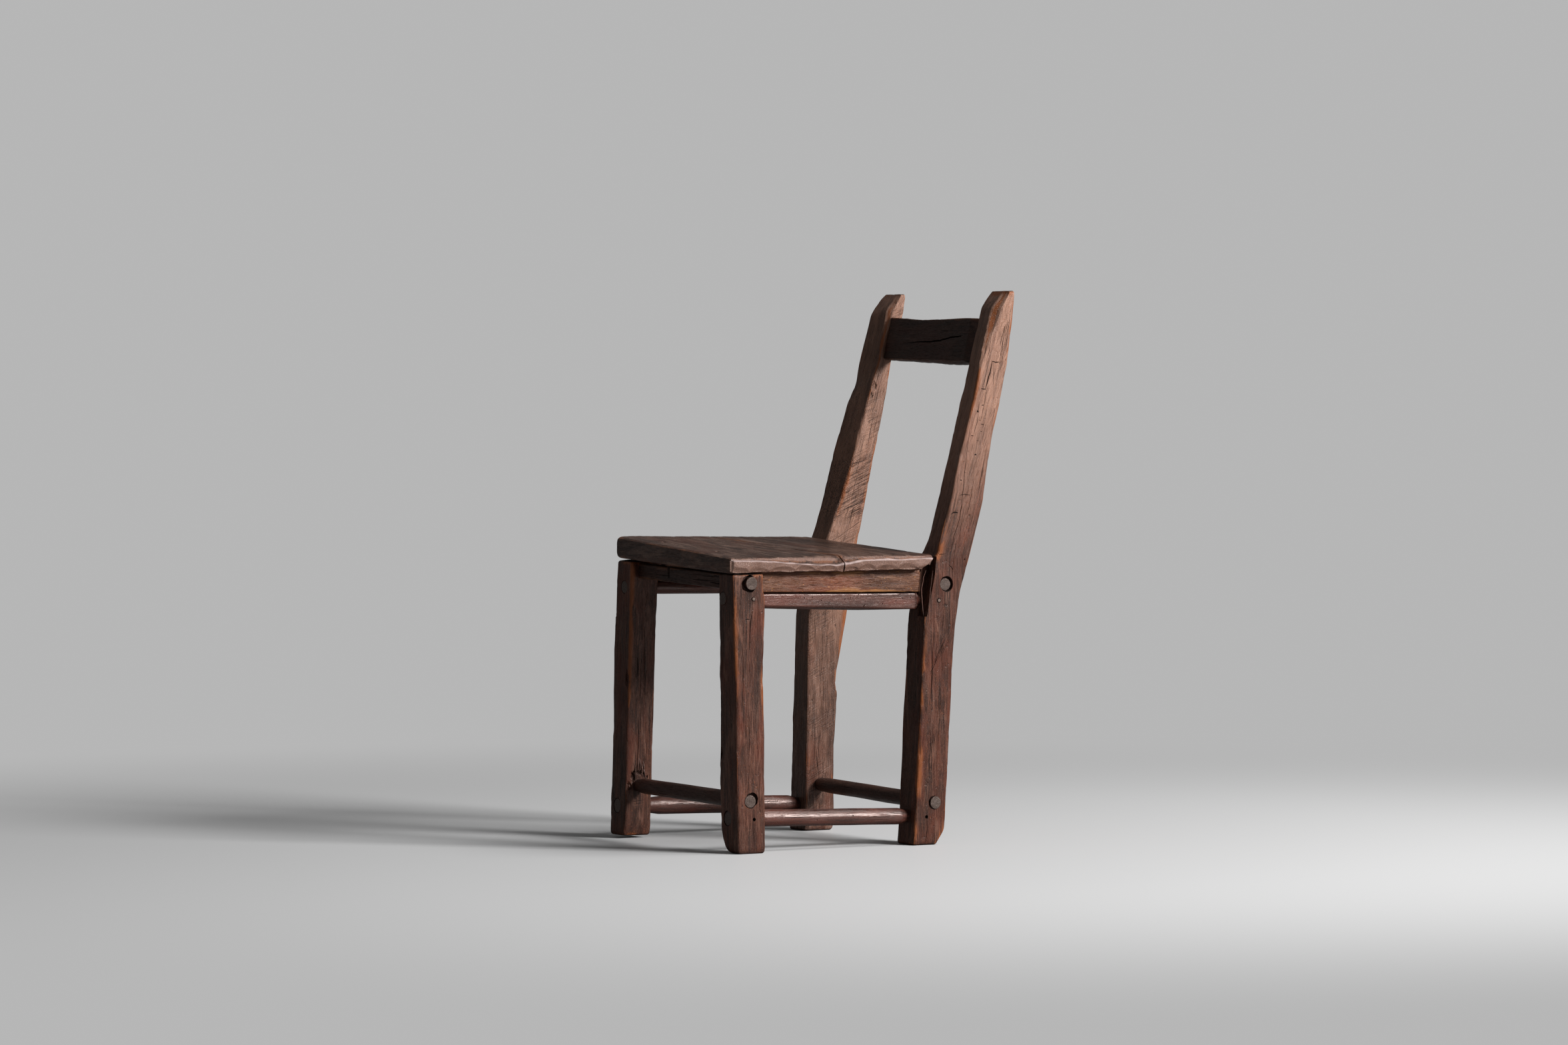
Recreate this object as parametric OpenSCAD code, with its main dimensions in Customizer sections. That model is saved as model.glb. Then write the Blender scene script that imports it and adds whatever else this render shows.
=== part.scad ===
// Rustic hand-hewn chair: two-board seat, splayed front legs, raked back posts, one crest rail.
// Millimetres. +Z up, the sitter faces -Y, the sitter's left is +X.
// The origin is on the floor, under the middle of the chair's bounding box.

/* [Seat] */
// Height of the seat's top at its left edge
seat_top_z = 446; // [442:1:450]
// How much higher the seat sits at its right edge
seat_rise = 17; // [12:1:18]
// Thickness of the seat boards at the left edge
seat_t_left = 24; // [21:1:26]
// Thickness of the seat boards at the right edge
seat_t_right = 28; // [25:1:30]
// Open joint between the two seat boards
seat_joint_gap = 1.2; // [0.5:0.1:3]

/* [Legs and posts] */
// Outward splay of a front leg's outer face, from the seat to the floor
leg_splay = 3; // [0:0.5:6]
// How far the front right foot stays clear of the floor
foot_lift = 4; // [0:0.5:5]
// Height of the tips of the posts
post_top_z = 852; // [846:1:870]
// Width of a post from side to side
post_w = 52; // [49:1:54]
// How far the inner edge of the left post's raked front is hewn back
left_post_bevel = 14; // [6:1:16]
// How far the inner edge of the right post's raked front is hewn back
right_post_bevel = 7; // [4:1:12]

/* [Crest rail] */
// Height of the crest rail
crest_h = 70; // [56:1:72]
// Thickness of the crest rail
crest_t = 18; // [15:0.5:19]

/* [Rails and stretchers] */
// Height of the flat front and back rails
rail_h = 24; // [22:0.5:25]
// Thickness of the flat front and back rails
rail_t = 24; // [20:0.5:26]
// Diameter of the tenons of the flat rails
rail_tenon_d = 23; // [18:0.5:23]
// Diameter of the left round rail at its front, thinner end
side_rail_d = 23; // [21:0.5:23.5]
// Diameter of the tenons of the round members
round_tenon_d = 20; // [16:0.5:20]
// Diameter of the front and back stretchers
cross_stretcher_d = 24; // [22:0.5:26]
// Largest diameter of the left and right stretchers
side_stretcher_d = 27; // [24:0.5:29]
// Thickness of the flat strips under the seat's sides
apron_t = 18; // [14:1:22]

/* [Pegs] */
// Diameter of the small pegs that lock the side members
peg_d = 5.5; // [4:0.5:6]
// Diameter of the pegs that hold the seat down
seat_peg_d = 8; // [6:0.5:10]
// Radial clearance of a tenon or a peg in its hole
fit_gap = 0.05; // [0.02:0.01:0.15]

/* [Hidden] */
$fn = 64;
far = 1200;                      // longer than anything in the chair

// Seat plan: the right end is narrower than the left end, and the joint runs a little askew
seat_left_x = 201;
seat_right_x = -186;
seat_front_y = -262;
seat_right_front_y = -249;
seat_back_y = 101;
seat_right_back_y = 107;
joint_left_y = -61;
joint_right_y = -74;
seat_arris = 5;                  // worn edge of the boards
seat_corner = [9, 8];            // the worn front right corner: along the front, and along the side
back_chamfer_y = 16;             // the boards' back edge is chamfered below: how far forward,
back_chamfer_z = 10;             // and how far below the top it starts
seat_tilt = seat_rise / (seat_left_x - seat_right_x);
under_left_z = seat_top_z - seat_t_left;
under_tilt = (seat_top_z + seat_rise - seat_t_right - under_left_z) / (seat_left_x - seat_right_x);
function seat_z(x) = seat_top_z + (seat_left_x - x) * seat_tilt;
function under_z(x) = under_left_z + (seat_left_x - x) * under_tilt;

// Front legs: x of the outer and inner faces, at the floor and at the top
left_leg_foot_x = [197, 141];
left_leg_top_x = [197 - leg_splay, 148];
right_leg_foot_x = [-201, -150];
right_leg_top_x = [-187 + leg_splay, -136];
// y of the front and back faces
leg_foot_y = [-246, -198];
left_leg_top_y = [-254, -199];
right_leg_top_y = [-242, -192];
leg_top_gap = 0.3;               // under the seat
foot_round = 8;                  // worn foot edges: height,
sole_round = 4;                  // and width
foot_wear = [12, 20];            // the inner edge of a front foot is worn away further,
foot_wear_top = 95;              // from this height down

// Back posts: outer faces, and side outlines (y, z) of the outer edge
left_post_x = 193;
right_post_x = -190;
left_knee = [111, 448];          // the raked front starts here, at the seat
left_rake_end = [213, 823];      // and ends here, below the tip
right_knee = [111, 455];
right_rake_end = [229, 822];
left_post_outline = [[68, 0], [88, 346], [95, 422], [102, 430], left_knee, left_rake_end, [240, post_top_z],
                     [249, post_top_z], [253, post_top_z - 5], [250, 807], [240, 738], [212, 624],
                     [195, 527], [173, 443], [155, 389], [145, 335], [134, 167], [128, 52],
                     [125, 22], [108, 0]];
right_post_outline = [[73, 0], [81, 340], [92, 415], [107.4, 434], right_knee, right_rake_end,
                      [256, post_top_z], [260, post_top_z - 1], [262, post_top_z - 6], [257, 814], [236, 742],
                      [225, 683], [173, 458], [150, 325], [138, 262], [132, 231], [135, 210], [130, 143],
                      [127, 10], [122, 0]];
bevel_len = 420;
bevel_drop = 8;                  // the bevel starts this far below the knee
post_top_round = [5, 6];         // worn upper edges: width, height
// A split has taken the left post's front outer corner away beside the seat
split_outline = [[91, 352], [101, 392], [110, 442]];
split_w = 24;

// Axes of the members, each from its left or front end to its right or back end
front_rail_axis = [[194.5, -223, 407], [-184.5, -217, 418.5]];
back_rail_axis = [[193, 126, 400], [-190, 129, 411]];
front_stretcher_axis = [[196.5, -225, 79], [-199, -221, 83]];
back_stretcher_axis = [[195, 107, 65], [-190, 101, 75]];
left_rail_axis = [[161, -253, 384.5], [161, 151, 374.5]];
right_rail_axis = [[-160, -242, 392], [-163, 160, 386]];
left_stretcher_axis = [[165, -246, 52.5], [166, 127, 42.5]];
right_stretcher_axis = [[-177, -245.5, 50.5], [-165, 128, 41]];

// Distances from the two ends of an axis to the faces where the members leave the legs
front_rail_shoulders = [47.5, 49];
back_rail_shoulders = [53, 53];
front_stretcher_shoulders = [55.5, 49.5];
back_stretcher_shoulders = [55, 53];
left_rail_shoulders = [54.5, 63];
right_rail_shoulders = [50, 76];
left_stretcher_shoulders = [48.5, 57];
right_stretcher_shoulders = [48.5, 55];
right_rail_d = 22;
stretcher_tenon_d = 23;          // front tenons of the side stretchers
tenon_reach = 120;               // a tenon's hole takes in one leg and stops short of the next

// How the diameter of each round member steps along its body
left_rail_body = stepped(side_rail_d, [-1, 0, 5, -1]);
right_rail_body = stepped(right_rail_d, [-1, 0, 0, -1.5]);
front_stretcher_body = stepped(cross_stretcher_d, [0, 0.5, 0, -3]);
back_stretcher_body = stepped(cross_stretcher_d, [0, 0.5, 0, -2]);
left_stretcher_body = stepped(side_stretcher_d, [-2, 0, -1.5, -6]);
right_stretcher_body = stepped(side_stretcher_d, [-3, 2, 0, -4]);
// Lengths of the tapers beside the shoulders
rail_tapers = [4, 8];
front_stretcher_tapers = [20, 20];
back_stretcher_tapers = [20, 30];
left_stretcher_tapers = [10, 14];
right_stretcher_tapers = [24, 14];

// Worn mouths beside the tenons: centre, diameter and depth
left_leg_mouths = [[front_rail_axis[0] + [0, -4, 0], rail_tenon_d, 9],
                   [front_stretcher_axis[0] + [0, 2, 2], round_tenon_d, 6]];
left_post_mouth = [back_rail_axis[0] + [0, 3, 1], rail_tenon_d, 7];

// Strips under the seat: outer face, and y of their ends
left_apron_x = 180.5;
left_apron_y = [-198.7, 88.5];
right_apron_x = -170;
right_apron_y = [-191.5, 80];
left_apron_low_z = [395, 390.4]; // lower and upper edges at the front and back ends
left_apron_high_z = [422, 421.5];
right_apron_low_z = [402.8, 398.6];
right_apron_high_z = [433, 430];

// Small pegs and empty peg holes across the legs: y and z on the outer face
left_front_peg_at = [-218, 383.6];
left_back_peg_at = [114, 375.4];
left_front_hole_at = [-218, 51.8];
left_back_hole_at = [92, 43.5];
right_front_peg_at = [-215, 391.6];
right_back_peg_at = [114, 386.7];
right_front_low_peg_at = [-218, 49.8];
right_back_low_peg_at = [92, 41.9];
peg_len = 40;
peg_hole_deep = 42;
left_leg_peg_x = 195;            // outer ends of the pegs, just proud of the faces
left_post_peg_x = 193.5;
right_leg_peg_x = -186.5;
right_post_peg_x = -190.5;
right_foot_peg_x = -199.5;

// Seat pegs (x, y), driven into the front rail or a side strip
seat_pegs = [["front_left", 92, -221], ["front_right", -77, -219], ["back_left", 174, 40],
             ["back_right", -161, 44]];
seat_peg_len = 42;
seat_peg_sunk = 0.5;             // below the seat's top

// Crest rail: the middle of its front face at the two ends, and its tenons
crest_axis = [[141, 219, 774], [-138, 227, 780]];
crest_tenon_h = 42;
crest_tenon_t = 9;
crest_tenon_len = 20;
crest_rake = 12;
crest_end_gap = 0.1;             // between the board and the posts beside its tenons
crest_bevel = [34, 9];           // length and depth of the bevel at its left end

// The notch in the front rail
notch_top = [-41, 428];          // x, and a height just above the rail
notch_w = [9, 4];                // at its top and bottom
notch_deep = 21;

wood_dark = [0.20, 0.11, 0.08];
wood_mid = [0.33, 0.20, 0.15];
wood_lit = [0.40, 0.25, 0.19];
wood_pale = [0.45, 0.33, 0.27];

// ---- helpers ----

function span(axis) = norm(axis[1] - axis[0]);
function stepped(d, steps) = [for (s = steps) d + s];

// Puts what is built up the +Z axis onto the line between an axis's two points; its +X side faces down
module along(axis) {
    d = axis[1] - axis[0];
    translate(axis[0]) rotate([0, acos(d[2] / norm(d)), atan2(d[1], d[0])]) children();
}

// An outline seen from the front (x, z), extruded through the whole depth
module front_outline(points) {
    translate([0, far / 2, 0]) rotate([90, 0, 0]) linear_extrude(far) polygon(points);
}

// An outline seen from the side (y, z), extruded through the whole width
module side_outline(points) {
    translate([-far / 2, 0, 0]) rotate([90, 0, 90]) linear_extrude(far) polygon(points);
}

// A shaved round member with a tenon at each end. body: its diameters beside the first shoulder,
// at the inner ends of the two tapers, and beside the second shoulder
module round_member(axis, tenons, shoulders, body, tapers) {
    len = span(axis);
    along(axis) rotate_extrude() polygon([
        [0, 0], [tenons[0] / 2, 0], [tenons[0] / 2, shoulders[0]], [body[0] / 2, shoulders[0]],
        [body[1] / 2, shoulders[0] + tapers[0]], [body[2] / 2, len - shoulders[1] - tapers[1]],
        [body[3] / 2, len - shoulders[1]], [tenons[1] / 2, len - shoulders[1]],
        [tenons[1] / 2, len], [0, len]]);
}

// A squared member with a round tenon at each end
module flat_rail(axis, shoulders) {
    len = span(axis);
    along(axis) {
        cylinder(h = len, d = rail_tenon_d);
        translate([-rail_h / 2, -rail_t / 2, shoulders[0]])
            cube([rail_h, rail_t, len - shoulders[0] - shoulders[1]]);
    }
}

// The hole for the tenon at the first (0) or second (1) end of an axis
module tenon_hole(axis, end, d) {
    along(axis) translate([0, 0, end * span(axis) - tenon_reach])
        cylinder(h = 2 * tenon_reach, d = d + 2 * fit_gap);
}

// The worn mouth of a hole whose tenon runs along x; mouth: [centre, diameter, depth]
module worn_mouth(mouth) {
    translate(mouth[0]) rotate([0, 90, 0]) cylinder(h = 2 * mouth[2], d = mouth[1], center = true);
}

// A hole across a leg for a small peg, from its outer face inwards
module peg_hole(face_x, at, d) {
    translate([face_x, at[0], at[1]]) rotate([0, 90, 0])
        cylinder(h = 2 * peg_hole_deep, d = d, center = true);
}

module small_peg(end_x, at) {
    color(wood_pale) translate([end_x - sign(end_x) * peg_len / 2, at[0], at[1]])
        rotate([0, 90, 0]) cylinder(h = peg_len, d = peg_d, center = true);
}

// ---- seat ----

// Both boards and their worn edges, before the joint is cut
module seat_slab() {
    intersection() {
        front_outline([[seat_left_x - seat_arris, under_left_z], [seat_left_x, under_left_z + seat_arris],
                       [seat_left_x, seat_top_z - seat_arris], [seat_left_x - seat_arris, seat_top_z],
                       [seat_right_x + seat_arris, seat_top_z + seat_rise],
                       [seat_right_x, seat_top_z + seat_rise - seat_arris],
                       [seat_right_x, under_z(seat_right_x) + seat_arris],
                       [seat_right_x + seat_arris, under_z(seat_right_x)]]);
        linear_extrude(far) polygon([[seat_left_x, seat_front_y], [seat_left_x, seat_back_y],
                                     [seat_right_x, seat_right_back_y],
                                     [seat_right_x, seat_right_front_y + seat_corner[1]],
                                     [seat_right_x + seat_corner[0], seat_right_front_y]]);
        side_outline([[seat_front_y, 0], [seat_front_y, far], [seat_right_back_y, far],
                      [seat_right_back_y, seat_top_z - back_chamfer_z],
                      [seat_right_back_y - back_chamfer_y, under_left_z],
                      [seat_right_back_y - back_chamfer_y, 0]]);
    }
}

// Everything on one side of the joint: 1 is behind it, -1 in front
module beside_joint(side) {
    slope = (joint_left_y - joint_right_y) / (seat_left_x - seat_right_x);
    gap = side * seat_joint_gap / 2;
    left = [far, joint_left_y + slope * (far - seat_left_x) + gap];
    right = [-far, joint_right_y - slope * (far + seat_right_x) + gap];
    linear_extrude(far) polygon([left, right, [-far, side * far], [far, side * far]]);
}

module seat_board(side) {
    color(wood_mid) difference() {
        intersection() {
            seat_slab();
            beside_joint(side);
        }
        for (p = seat_pegs)
            translate([p[1], p[2], 0]) cylinder(h = far, d = seat_peg_d + 2 * fit_gap);
    }
}

module seat_front_board() { seat_board(-1); }
module seat_back_board() { seat_board(1); }

module seat_peg(name) {
    p = [for (q = seat_pegs) if (q[0] == name) q][0];
    color(wood_dark) translate([p[1], p[2], seat_z(p[1]) - seat_peg_sunk - seat_peg_len])
        cylinder(h = seat_peg_len, d = seat_peg_d);
}

// The part of a seat peg's hole that is in the rail or strip under the seat
module seat_peg_socket(name) {
    p = [for (q = seat_pegs) if (q[0] == name) q][0];
    translate([p[1], p[2], seat_z(p[1]) - seat_peg_sunk - seat_peg_len])
        cylinder(h = seat_peg_len, d = seat_peg_d + 2 * fit_gap);
}

// ---- front legs ----

// foot_x, top_x: outer and inner faces; top_y: front and back faces at the top; foot_z: height of the sole
module leg_blank(foot_x, top_x, top_y, foot_z) {
    side = sign(foot_x[0]);
    top = seat_top_z + seat_rise;
    intersection() {
        front_outline([[foot_x[0] - side * sole_round, foot_z], [foot_x[0], foot_z + foot_round],
                       [top_x[0], under_z(top_x[0]) - leg_top_gap],
                       [top_x[1], under_z(top_x[1]) - leg_top_gap],
                       [foot_x[1], foot_wear_top], [foot_x[1] + side * sole_round, foot_z + foot_wear[1]],
                       [foot_x[1] + side * foot_wear[0], foot_z]]);
        side_outline([[leg_foot_y[0] + sole_round, foot_z], [leg_foot_y[0], foot_z + foot_round],
                      [top_y[0], top], [top_y[1], top], [leg_foot_y[1], foot_z + foot_round],
                      [leg_foot_y[1] - sole_round, foot_z]]);
    }
}

module front_left_leg() {
    color(wood_lit) difference() {
        leg_blank(left_leg_foot_x, left_leg_top_x, left_leg_top_y, 0);
        tenon_hole(front_rail_axis, 0, rail_tenon_d);
        tenon_hole(left_rail_axis, 0, round_tenon_d);
        tenon_hole(front_stretcher_axis, 0, round_tenon_d);
        tenon_hole(left_stretcher_axis, 0, stretcher_tenon_d);
        for (m = left_leg_mouths) worn_mouth(m);
        peg_hole(left_leg_peg_x, left_front_peg_at, peg_d + 2 * fit_gap);
        peg_hole(left_leg_foot_x[0], left_front_hole_at, peg_d);
    }
}

module front_right_leg() {
    color(wood_lit) difference() {
        leg_blank(right_leg_foot_x, right_leg_top_x, right_leg_top_y, foot_lift);
        tenon_hole(front_rail_axis, 1, rail_tenon_d);
        tenon_hole(right_rail_axis, 0, round_tenon_d);
        tenon_hole(front_stretcher_axis, 1, round_tenon_d);
        tenon_hole(right_stretcher_axis, 0, stretcher_tenon_d);
        peg_hole(right_leg_peg_x, right_front_peg_at, peg_d + 2 * fit_gap);
        peg_hole(right_foot_peg_x, right_front_low_peg_at, peg_d + 2 * fit_gap);
    }
}

// ---- back posts ----

// The wedge that turns the raked front of a post towards the middle of the chair
module front_bevel(outer_x, knee, rake_end, bevel) {
    inner = -sign(outer_x) * (post_w + sole_round);
    front = -post_w;
    rake = atan2(rake_end[0] - knee[0], rake_end[1] - knee[1]);
    translate([outer_x, knee[0], knee[1]]) rotate([-rake, 0, 0]) translate([0, 0, -bevel_drop])
        linear_extrude(bevel_len) polygon([[0, front], [inner, front], [inner, bevel], [0, 0]]);
}

module post_blank(outer_x, outline, knee, rake_end, bevel) {
    side = sign(outer_x);
    inner_x = outer_x - side * post_w;
    difference() {
        intersection() {
            side_outline(outline);
            front_outline([[outer_x - side * sole_round, 0], [outer_x, foot_round],
                           [outer_x, post_top_z - post_top_round[1]],
                           [outer_x - side * post_top_round[0], post_top_z],
                           [inner_x + side * post_top_round[0], post_top_z],
                           [inner_x, post_top_z - post_top_round[1]],
                           [inner_x, foot_round], [inner_x + side * sole_round, 0]]);
        }
        front_bevel(outer_x, knee, rake_end, bevel);
    }
}

module back_left_post() {
    color(wood_lit) difference() {
        post_blank(left_post_x, left_post_outline, left_knee, left_rake_end, left_post_bevel);
        tenon_hole(back_rail_axis, 0, rail_tenon_d);
        tenon_hole(left_rail_axis, 1, round_tenon_d);
        tenon_hole(back_stretcher_axis, 0, round_tenon_d);
        tenon_hole(left_stretcher_axis, 1, round_tenon_d);
        worn_mouth(left_post_mouth);
        peg_hole(left_post_peg_x, left_back_peg_at, peg_d + 2 * fit_gap);
        peg_hole(left_post_x, left_back_hole_at, peg_d);
        crest_tenons(2 * fit_gap);
        intersection() {
            side_outline([[0, split_outline[0][1]], each split_outline, [0, split_outline[2][1]]]);
            translate([left_post_x - split_w, 0, 0]) cube([split_w * 2, far, far]);
        }
    }
}

module back_right_post() {
    color(wood_lit) difference() {
        post_blank(right_post_x, right_post_outline, right_knee, right_rake_end, right_post_bevel);
        tenon_hole(back_rail_axis, 1, rail_tenon_d);
        tenon_hole(right_rail_axis, 1, round_tenon_d);
        tenon_hole(back_stretcher_axis, 1, round_tenon_d);
        tenon_hole(right_stretcher_axis, 1, round_tenon_d);
        peg_hole(right_post_peg_x, right_back_peg_at, peg_d + 2 * fit_gap);
        peg_hole(right_post_peg_x, right_back_low_peg_at, peg_d + 2 * fit_gap);
        crest_tenons(2 * fit_gap);
    }
}

// ---- crest rail ----

// Turns the crest rail's own frame: +Z from its left to its right end, +Y to the front, +X down
module crest_frame() {
    along(crest_axis) rotate([0, 0, crest_rake]) children();
}

// Both tenons and the core between them, grown all round by grow
module crest_tenons(grow) {
    crest_frame() translate([-(crest_tenon_h + grow) / 2, -(crest_t + crest_tenon_t + grow) / 2,
                             -crest_tenon_len - grow / 2])
        cube([crest_tenon_h + grow, crest_tenon_t + grow, span(crest_axis) + 2 * crest_tenon_len + grow]);
}

module crest_rail() {
    over = post_w / 2;
    plan = [[over, -crest_t], [-far / 2, -crest_t], [-far / 2, 0], [-crest_bevel[0], 0],
            [0, -crest_bevel[1]], [over, -crest_bevel[1]]];
    color(wood_dark) union() {
        crest_tenons(0);
        intersection() {
            crest_frame() rotate([0, 90, 0]) translate([0, 0, -crest_h / 2])
                linear_extrude(crest_h) polygon(plan);
            translate([crest_axis[1][0] + crest_end_gap, 0, 0])
                cube([crest_axis[0][0] - crest_axis[1][0] - 2 * crest_end_gap, far, far]);
        }
    }
}

// ---- flat rails ----

module front_rail() {
    color(wood_dark) difference() {
        flat_rail(front_rail_axis, front_rail_shoulders);
        translate([notch_top[0], 0, notch_top[1]])
            front_outline([[notch_w[0] / 2, 0], [notch_w[1] / 2, -notch_deep],
                           [-notch_w[1] / 2, -notch_deep], [-notch_w[0] / 2, 0]]);
        seat_peg_socket("front_left");
        seat_peg_socket("front_right");
    }
}

module back_rail() {
    color(wood_dark) flat_rail(back_rail_axis, back_rail_shoulders);
}

// ---- strips under the seat's sides ----

// A strip that lies on a round rail; low_z and high_z are its edges' heights at its front and back ends
module apron_strip(outer_x, ends_y, low_z, high_z) {
    inner_x = outer_x - sign(outer_x) * apron_t;
    color(wood_lit) intersection() {
        side_outline([[ends_y[0], low_z[0]], [ends_y[1], low_z[1]], [ends_y[1], high_z[1]],
                      [ends_y[0], high_z[0]]]);
        front_outline([[outer_x, 0], [outer_x, far], [inner_x, far], [inner_x, 0]]);
    }
}

module left_apron() {
    difference() {
        apron_strip(left_apron_x, left_apron_y, left_apron_low_z, left_apron_high_z);
        seat_peg_socket("back_left");
    }
}

module right_apron() {
    difference() {
        apron_strip(right_apron_x, right_apron_y, right_apron_low_z, right_apron_high_z);
        seat_peg_socket("back_right");
    }
}

// ---- round side rails ----

module left_round_rail() {
    color(wood_pale) difference() {
        round_member(left_rail_axis, [round_tenon_d, round_tenon_d], left_rail_shoulders,
                     left_rail_body, rail_tapers);
        peg_hole(left_leg_peg_x, left_front_peg_at, peg_d + 2 * fit_gap);
        peg_hole(left_post_peg_x, left_back_peg_at, peg_d + 2 * fit_gap);
    }
}

module right_round_rail() {
    color(wood_dark) difference() {
        round_member(right_rail_axis, [round_tenon_d, round_tenon_d], right_rail_shoulders,
                     right_rail_body, rail_tapers);
        peg_hole(right_leg_peg_x, right_front_peg_at, peg_d + 2 * fit_gap);
        peg_hole(right_post_peg_x, right_back_peg_at, peg_d + 2 * fit_gap);
    }
}

// ---- stretchers ----

module front_stretcher() {
    color(wood_dark) round_member(front_stretcher_axis, [round_tenon_d, round_tenon_d],
                                  front_stretcher_shoulders, front_stretcher_body, front_stretcher_tapers);
}

module back_stretcher() {
    color(wood_dark) round_member(back_stretcher_axis, [round_tenon_d, round_tenon_d],
                                  back_stretcher_shoulders, back_stretcher_body, back_stretcher_tapers);
}

module left_stretcher() {
    color(wood_pale) difference() {
        round_member(left_stretcher_axis, [stretcher_tenon_d, round_tenon_d], left_stretcher_shoulders,
                     left_stretcher_body, left_stretcher_tapers);
        peg_hole(left_leg_foot_x[0], left_front_hole_at, peg_d);
        peg_hole(left_post_x, left_back_hole_at, peg_d);
    }
}

module right_stretcher() {
    color(wood_pale) difference() {
        round_member(right_stretcher_axis, [stretcher_tenon_d, round_tenon_d], right_stretcher_shoulders,
                     right_stretcher_body, right_stretcher_tapers);
        peg_hole(right_foot_peg_x, right_front_low_peg_at, peg_d + 2 * fit_gap);
        peg_hole(right_post_peg_x, right_back_low_peg_at, peg_d + 2 * fit_gap);
    }
}

// ---- the chair ----

seat_front_board();
seat_back_board();
front_left_leg();
front_right_leg();
back_left_post();
back_right_post();
crest_rail();
front_rail();
back_rail();
left_apron();
right_apron();
left_round_rail();
right_round_rail();
front_stretcher();
back_stretcher();
left_stretcher();
right_stretcher();
small_peg(left_leg_peg_x, left_front_peg_at);  // left_rail_front_peg
small_peg(left_post_peg_x, left_back_peg_at);  // left_rail_back_peg
small_peg(right_leg_peg_x, right_front_peg_at);  // right_rail_front_peg
small_peg(right_post_peg_x, right_back_peg_at);  // right_rail_back_peg
small_peg(right_foot_peg_x, right_front_low_peg_at);  // right_stretcher_front_peg
small_peg(right_post_peg_x, right_back_low_peg_at);  // right_stretcher_back_peg
seat_peg("front_left");  // seat_peg_front_left
seat_peg("front_right");  // seat_peg_front_right
seat_peg("back_left");  // seat_peg_back_left
seat_peg("back_right");  // seat_peg_back_right
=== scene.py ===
"""The looks of the rustic chair. Each wooden member is a dense hewn mesh that stands in for its CAD solid.

Shapes are worked out in millimetres in the frame's own axes, from the boxes of the CAD nodes.
"""
import math

import bpy
import numpy as np
from mathutils import Matrix, Vector


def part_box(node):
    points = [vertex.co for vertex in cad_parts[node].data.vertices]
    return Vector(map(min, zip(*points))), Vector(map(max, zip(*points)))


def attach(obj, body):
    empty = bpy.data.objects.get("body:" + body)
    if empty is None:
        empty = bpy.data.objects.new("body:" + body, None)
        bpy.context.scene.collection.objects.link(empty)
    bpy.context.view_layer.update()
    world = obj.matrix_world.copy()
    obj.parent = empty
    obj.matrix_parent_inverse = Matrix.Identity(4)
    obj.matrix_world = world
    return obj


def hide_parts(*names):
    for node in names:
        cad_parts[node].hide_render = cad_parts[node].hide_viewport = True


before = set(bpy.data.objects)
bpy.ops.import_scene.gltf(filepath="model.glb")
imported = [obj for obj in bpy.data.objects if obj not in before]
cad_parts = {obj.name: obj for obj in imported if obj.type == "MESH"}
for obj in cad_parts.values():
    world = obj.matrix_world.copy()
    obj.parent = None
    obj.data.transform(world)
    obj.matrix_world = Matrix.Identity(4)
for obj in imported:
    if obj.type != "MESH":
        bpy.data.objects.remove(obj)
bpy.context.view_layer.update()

MM = 0.001


# ---------------------------------------------------------------- noise

random = np.random.default_rng(11)
SHUFFLE = random.permutation(256)
SLOPES = random.normal(size=(256, 3))
SLOPES /= np.linalg.norm(SLOPES, axis=1)[:, None]
JITTER = random.random((256, 3))


def lattice(cell, dx, dy, dz):
    """A number from 0 to 255 for the lattice point beside each cell."""
    a = SHUFFLE[(cell[:, 0] + dx) & 255]
    b = SHUFFLE[(a + cell[:, 1] + dy) & 255]
    return SHUFFLE[(b + cell[:, 2] + dz) & 255]


def noise(p, seed=0):
    """Smooth noise from about -1 to 1 at points p (N, 3), with features one unit wide."""
    p = p + seed * np.array((13.7, 7.3, 29.1))
    cell = np.floor(p).astype(int)
    f = p - cell
    u = f * f * f * (f * (f * 6 - 15) + 10)
    total = np.zeros(len(p))
    for dx in (0, 1):
        for dy in (0, 1):
            for dz in (0, 1):
                offset = f - (dx, dy, dz)
                value = (SLOPES[lattice(cell, dx, dy, dz)] * offset).sum(1)
                weight = (np.abs(1 - dx - u[:, 0]) * np.abs(1 - dy - u[:, 1]) * np.abs(1 - dz - u[:, 2]))
                total += value * weight
    return total * 1.5


def rough(p, seed=0, octaves=3):
    """Noise with finer and finer detail added."""
    return sum(noise(p * 2 ** k, seed + k) / 2 ** k for k in range(octaves))


def dishes(p, seed=0):
    """Shallow dishes one unit wide with ridges between them: 1 in the middle of a dish, 0 on a ridge."""
    p = p + seed * np.array((5.1, 11.9, 3.7))
    cell = np.floor(p).astype(int)
    nearest = np.full(len(p), 9.0)
    for dx in (-1, 0, 1):
        for dy in (-1, 0, 1):
            for dz in (-1, 0, 1):
                centre = cell + (dx, dy, dz) + JITTER[lattice(cell, dx, dy, dz)]
                nearest = np.minimum(nearest, ((p - centre) ** 2).sum(1))
    return np.clip(1 - nearest / 0.8, -0.3, 1)


# ---------------------------------------------------------------- meshes

def grid_lines(size, step, edge=4.0):
    """Positions from 0 to size, closer together near both ends."""
    edge = min(edge, size / 3)
    near = np.linspace(0, edge, 4)[:-1]
    middle = np.linspace(edge, size - edge, max(2, int(round((size - 2 * edge) / step)) + 1))
    return np.concatenate([near, middle, size - near[::-1]])


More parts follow.
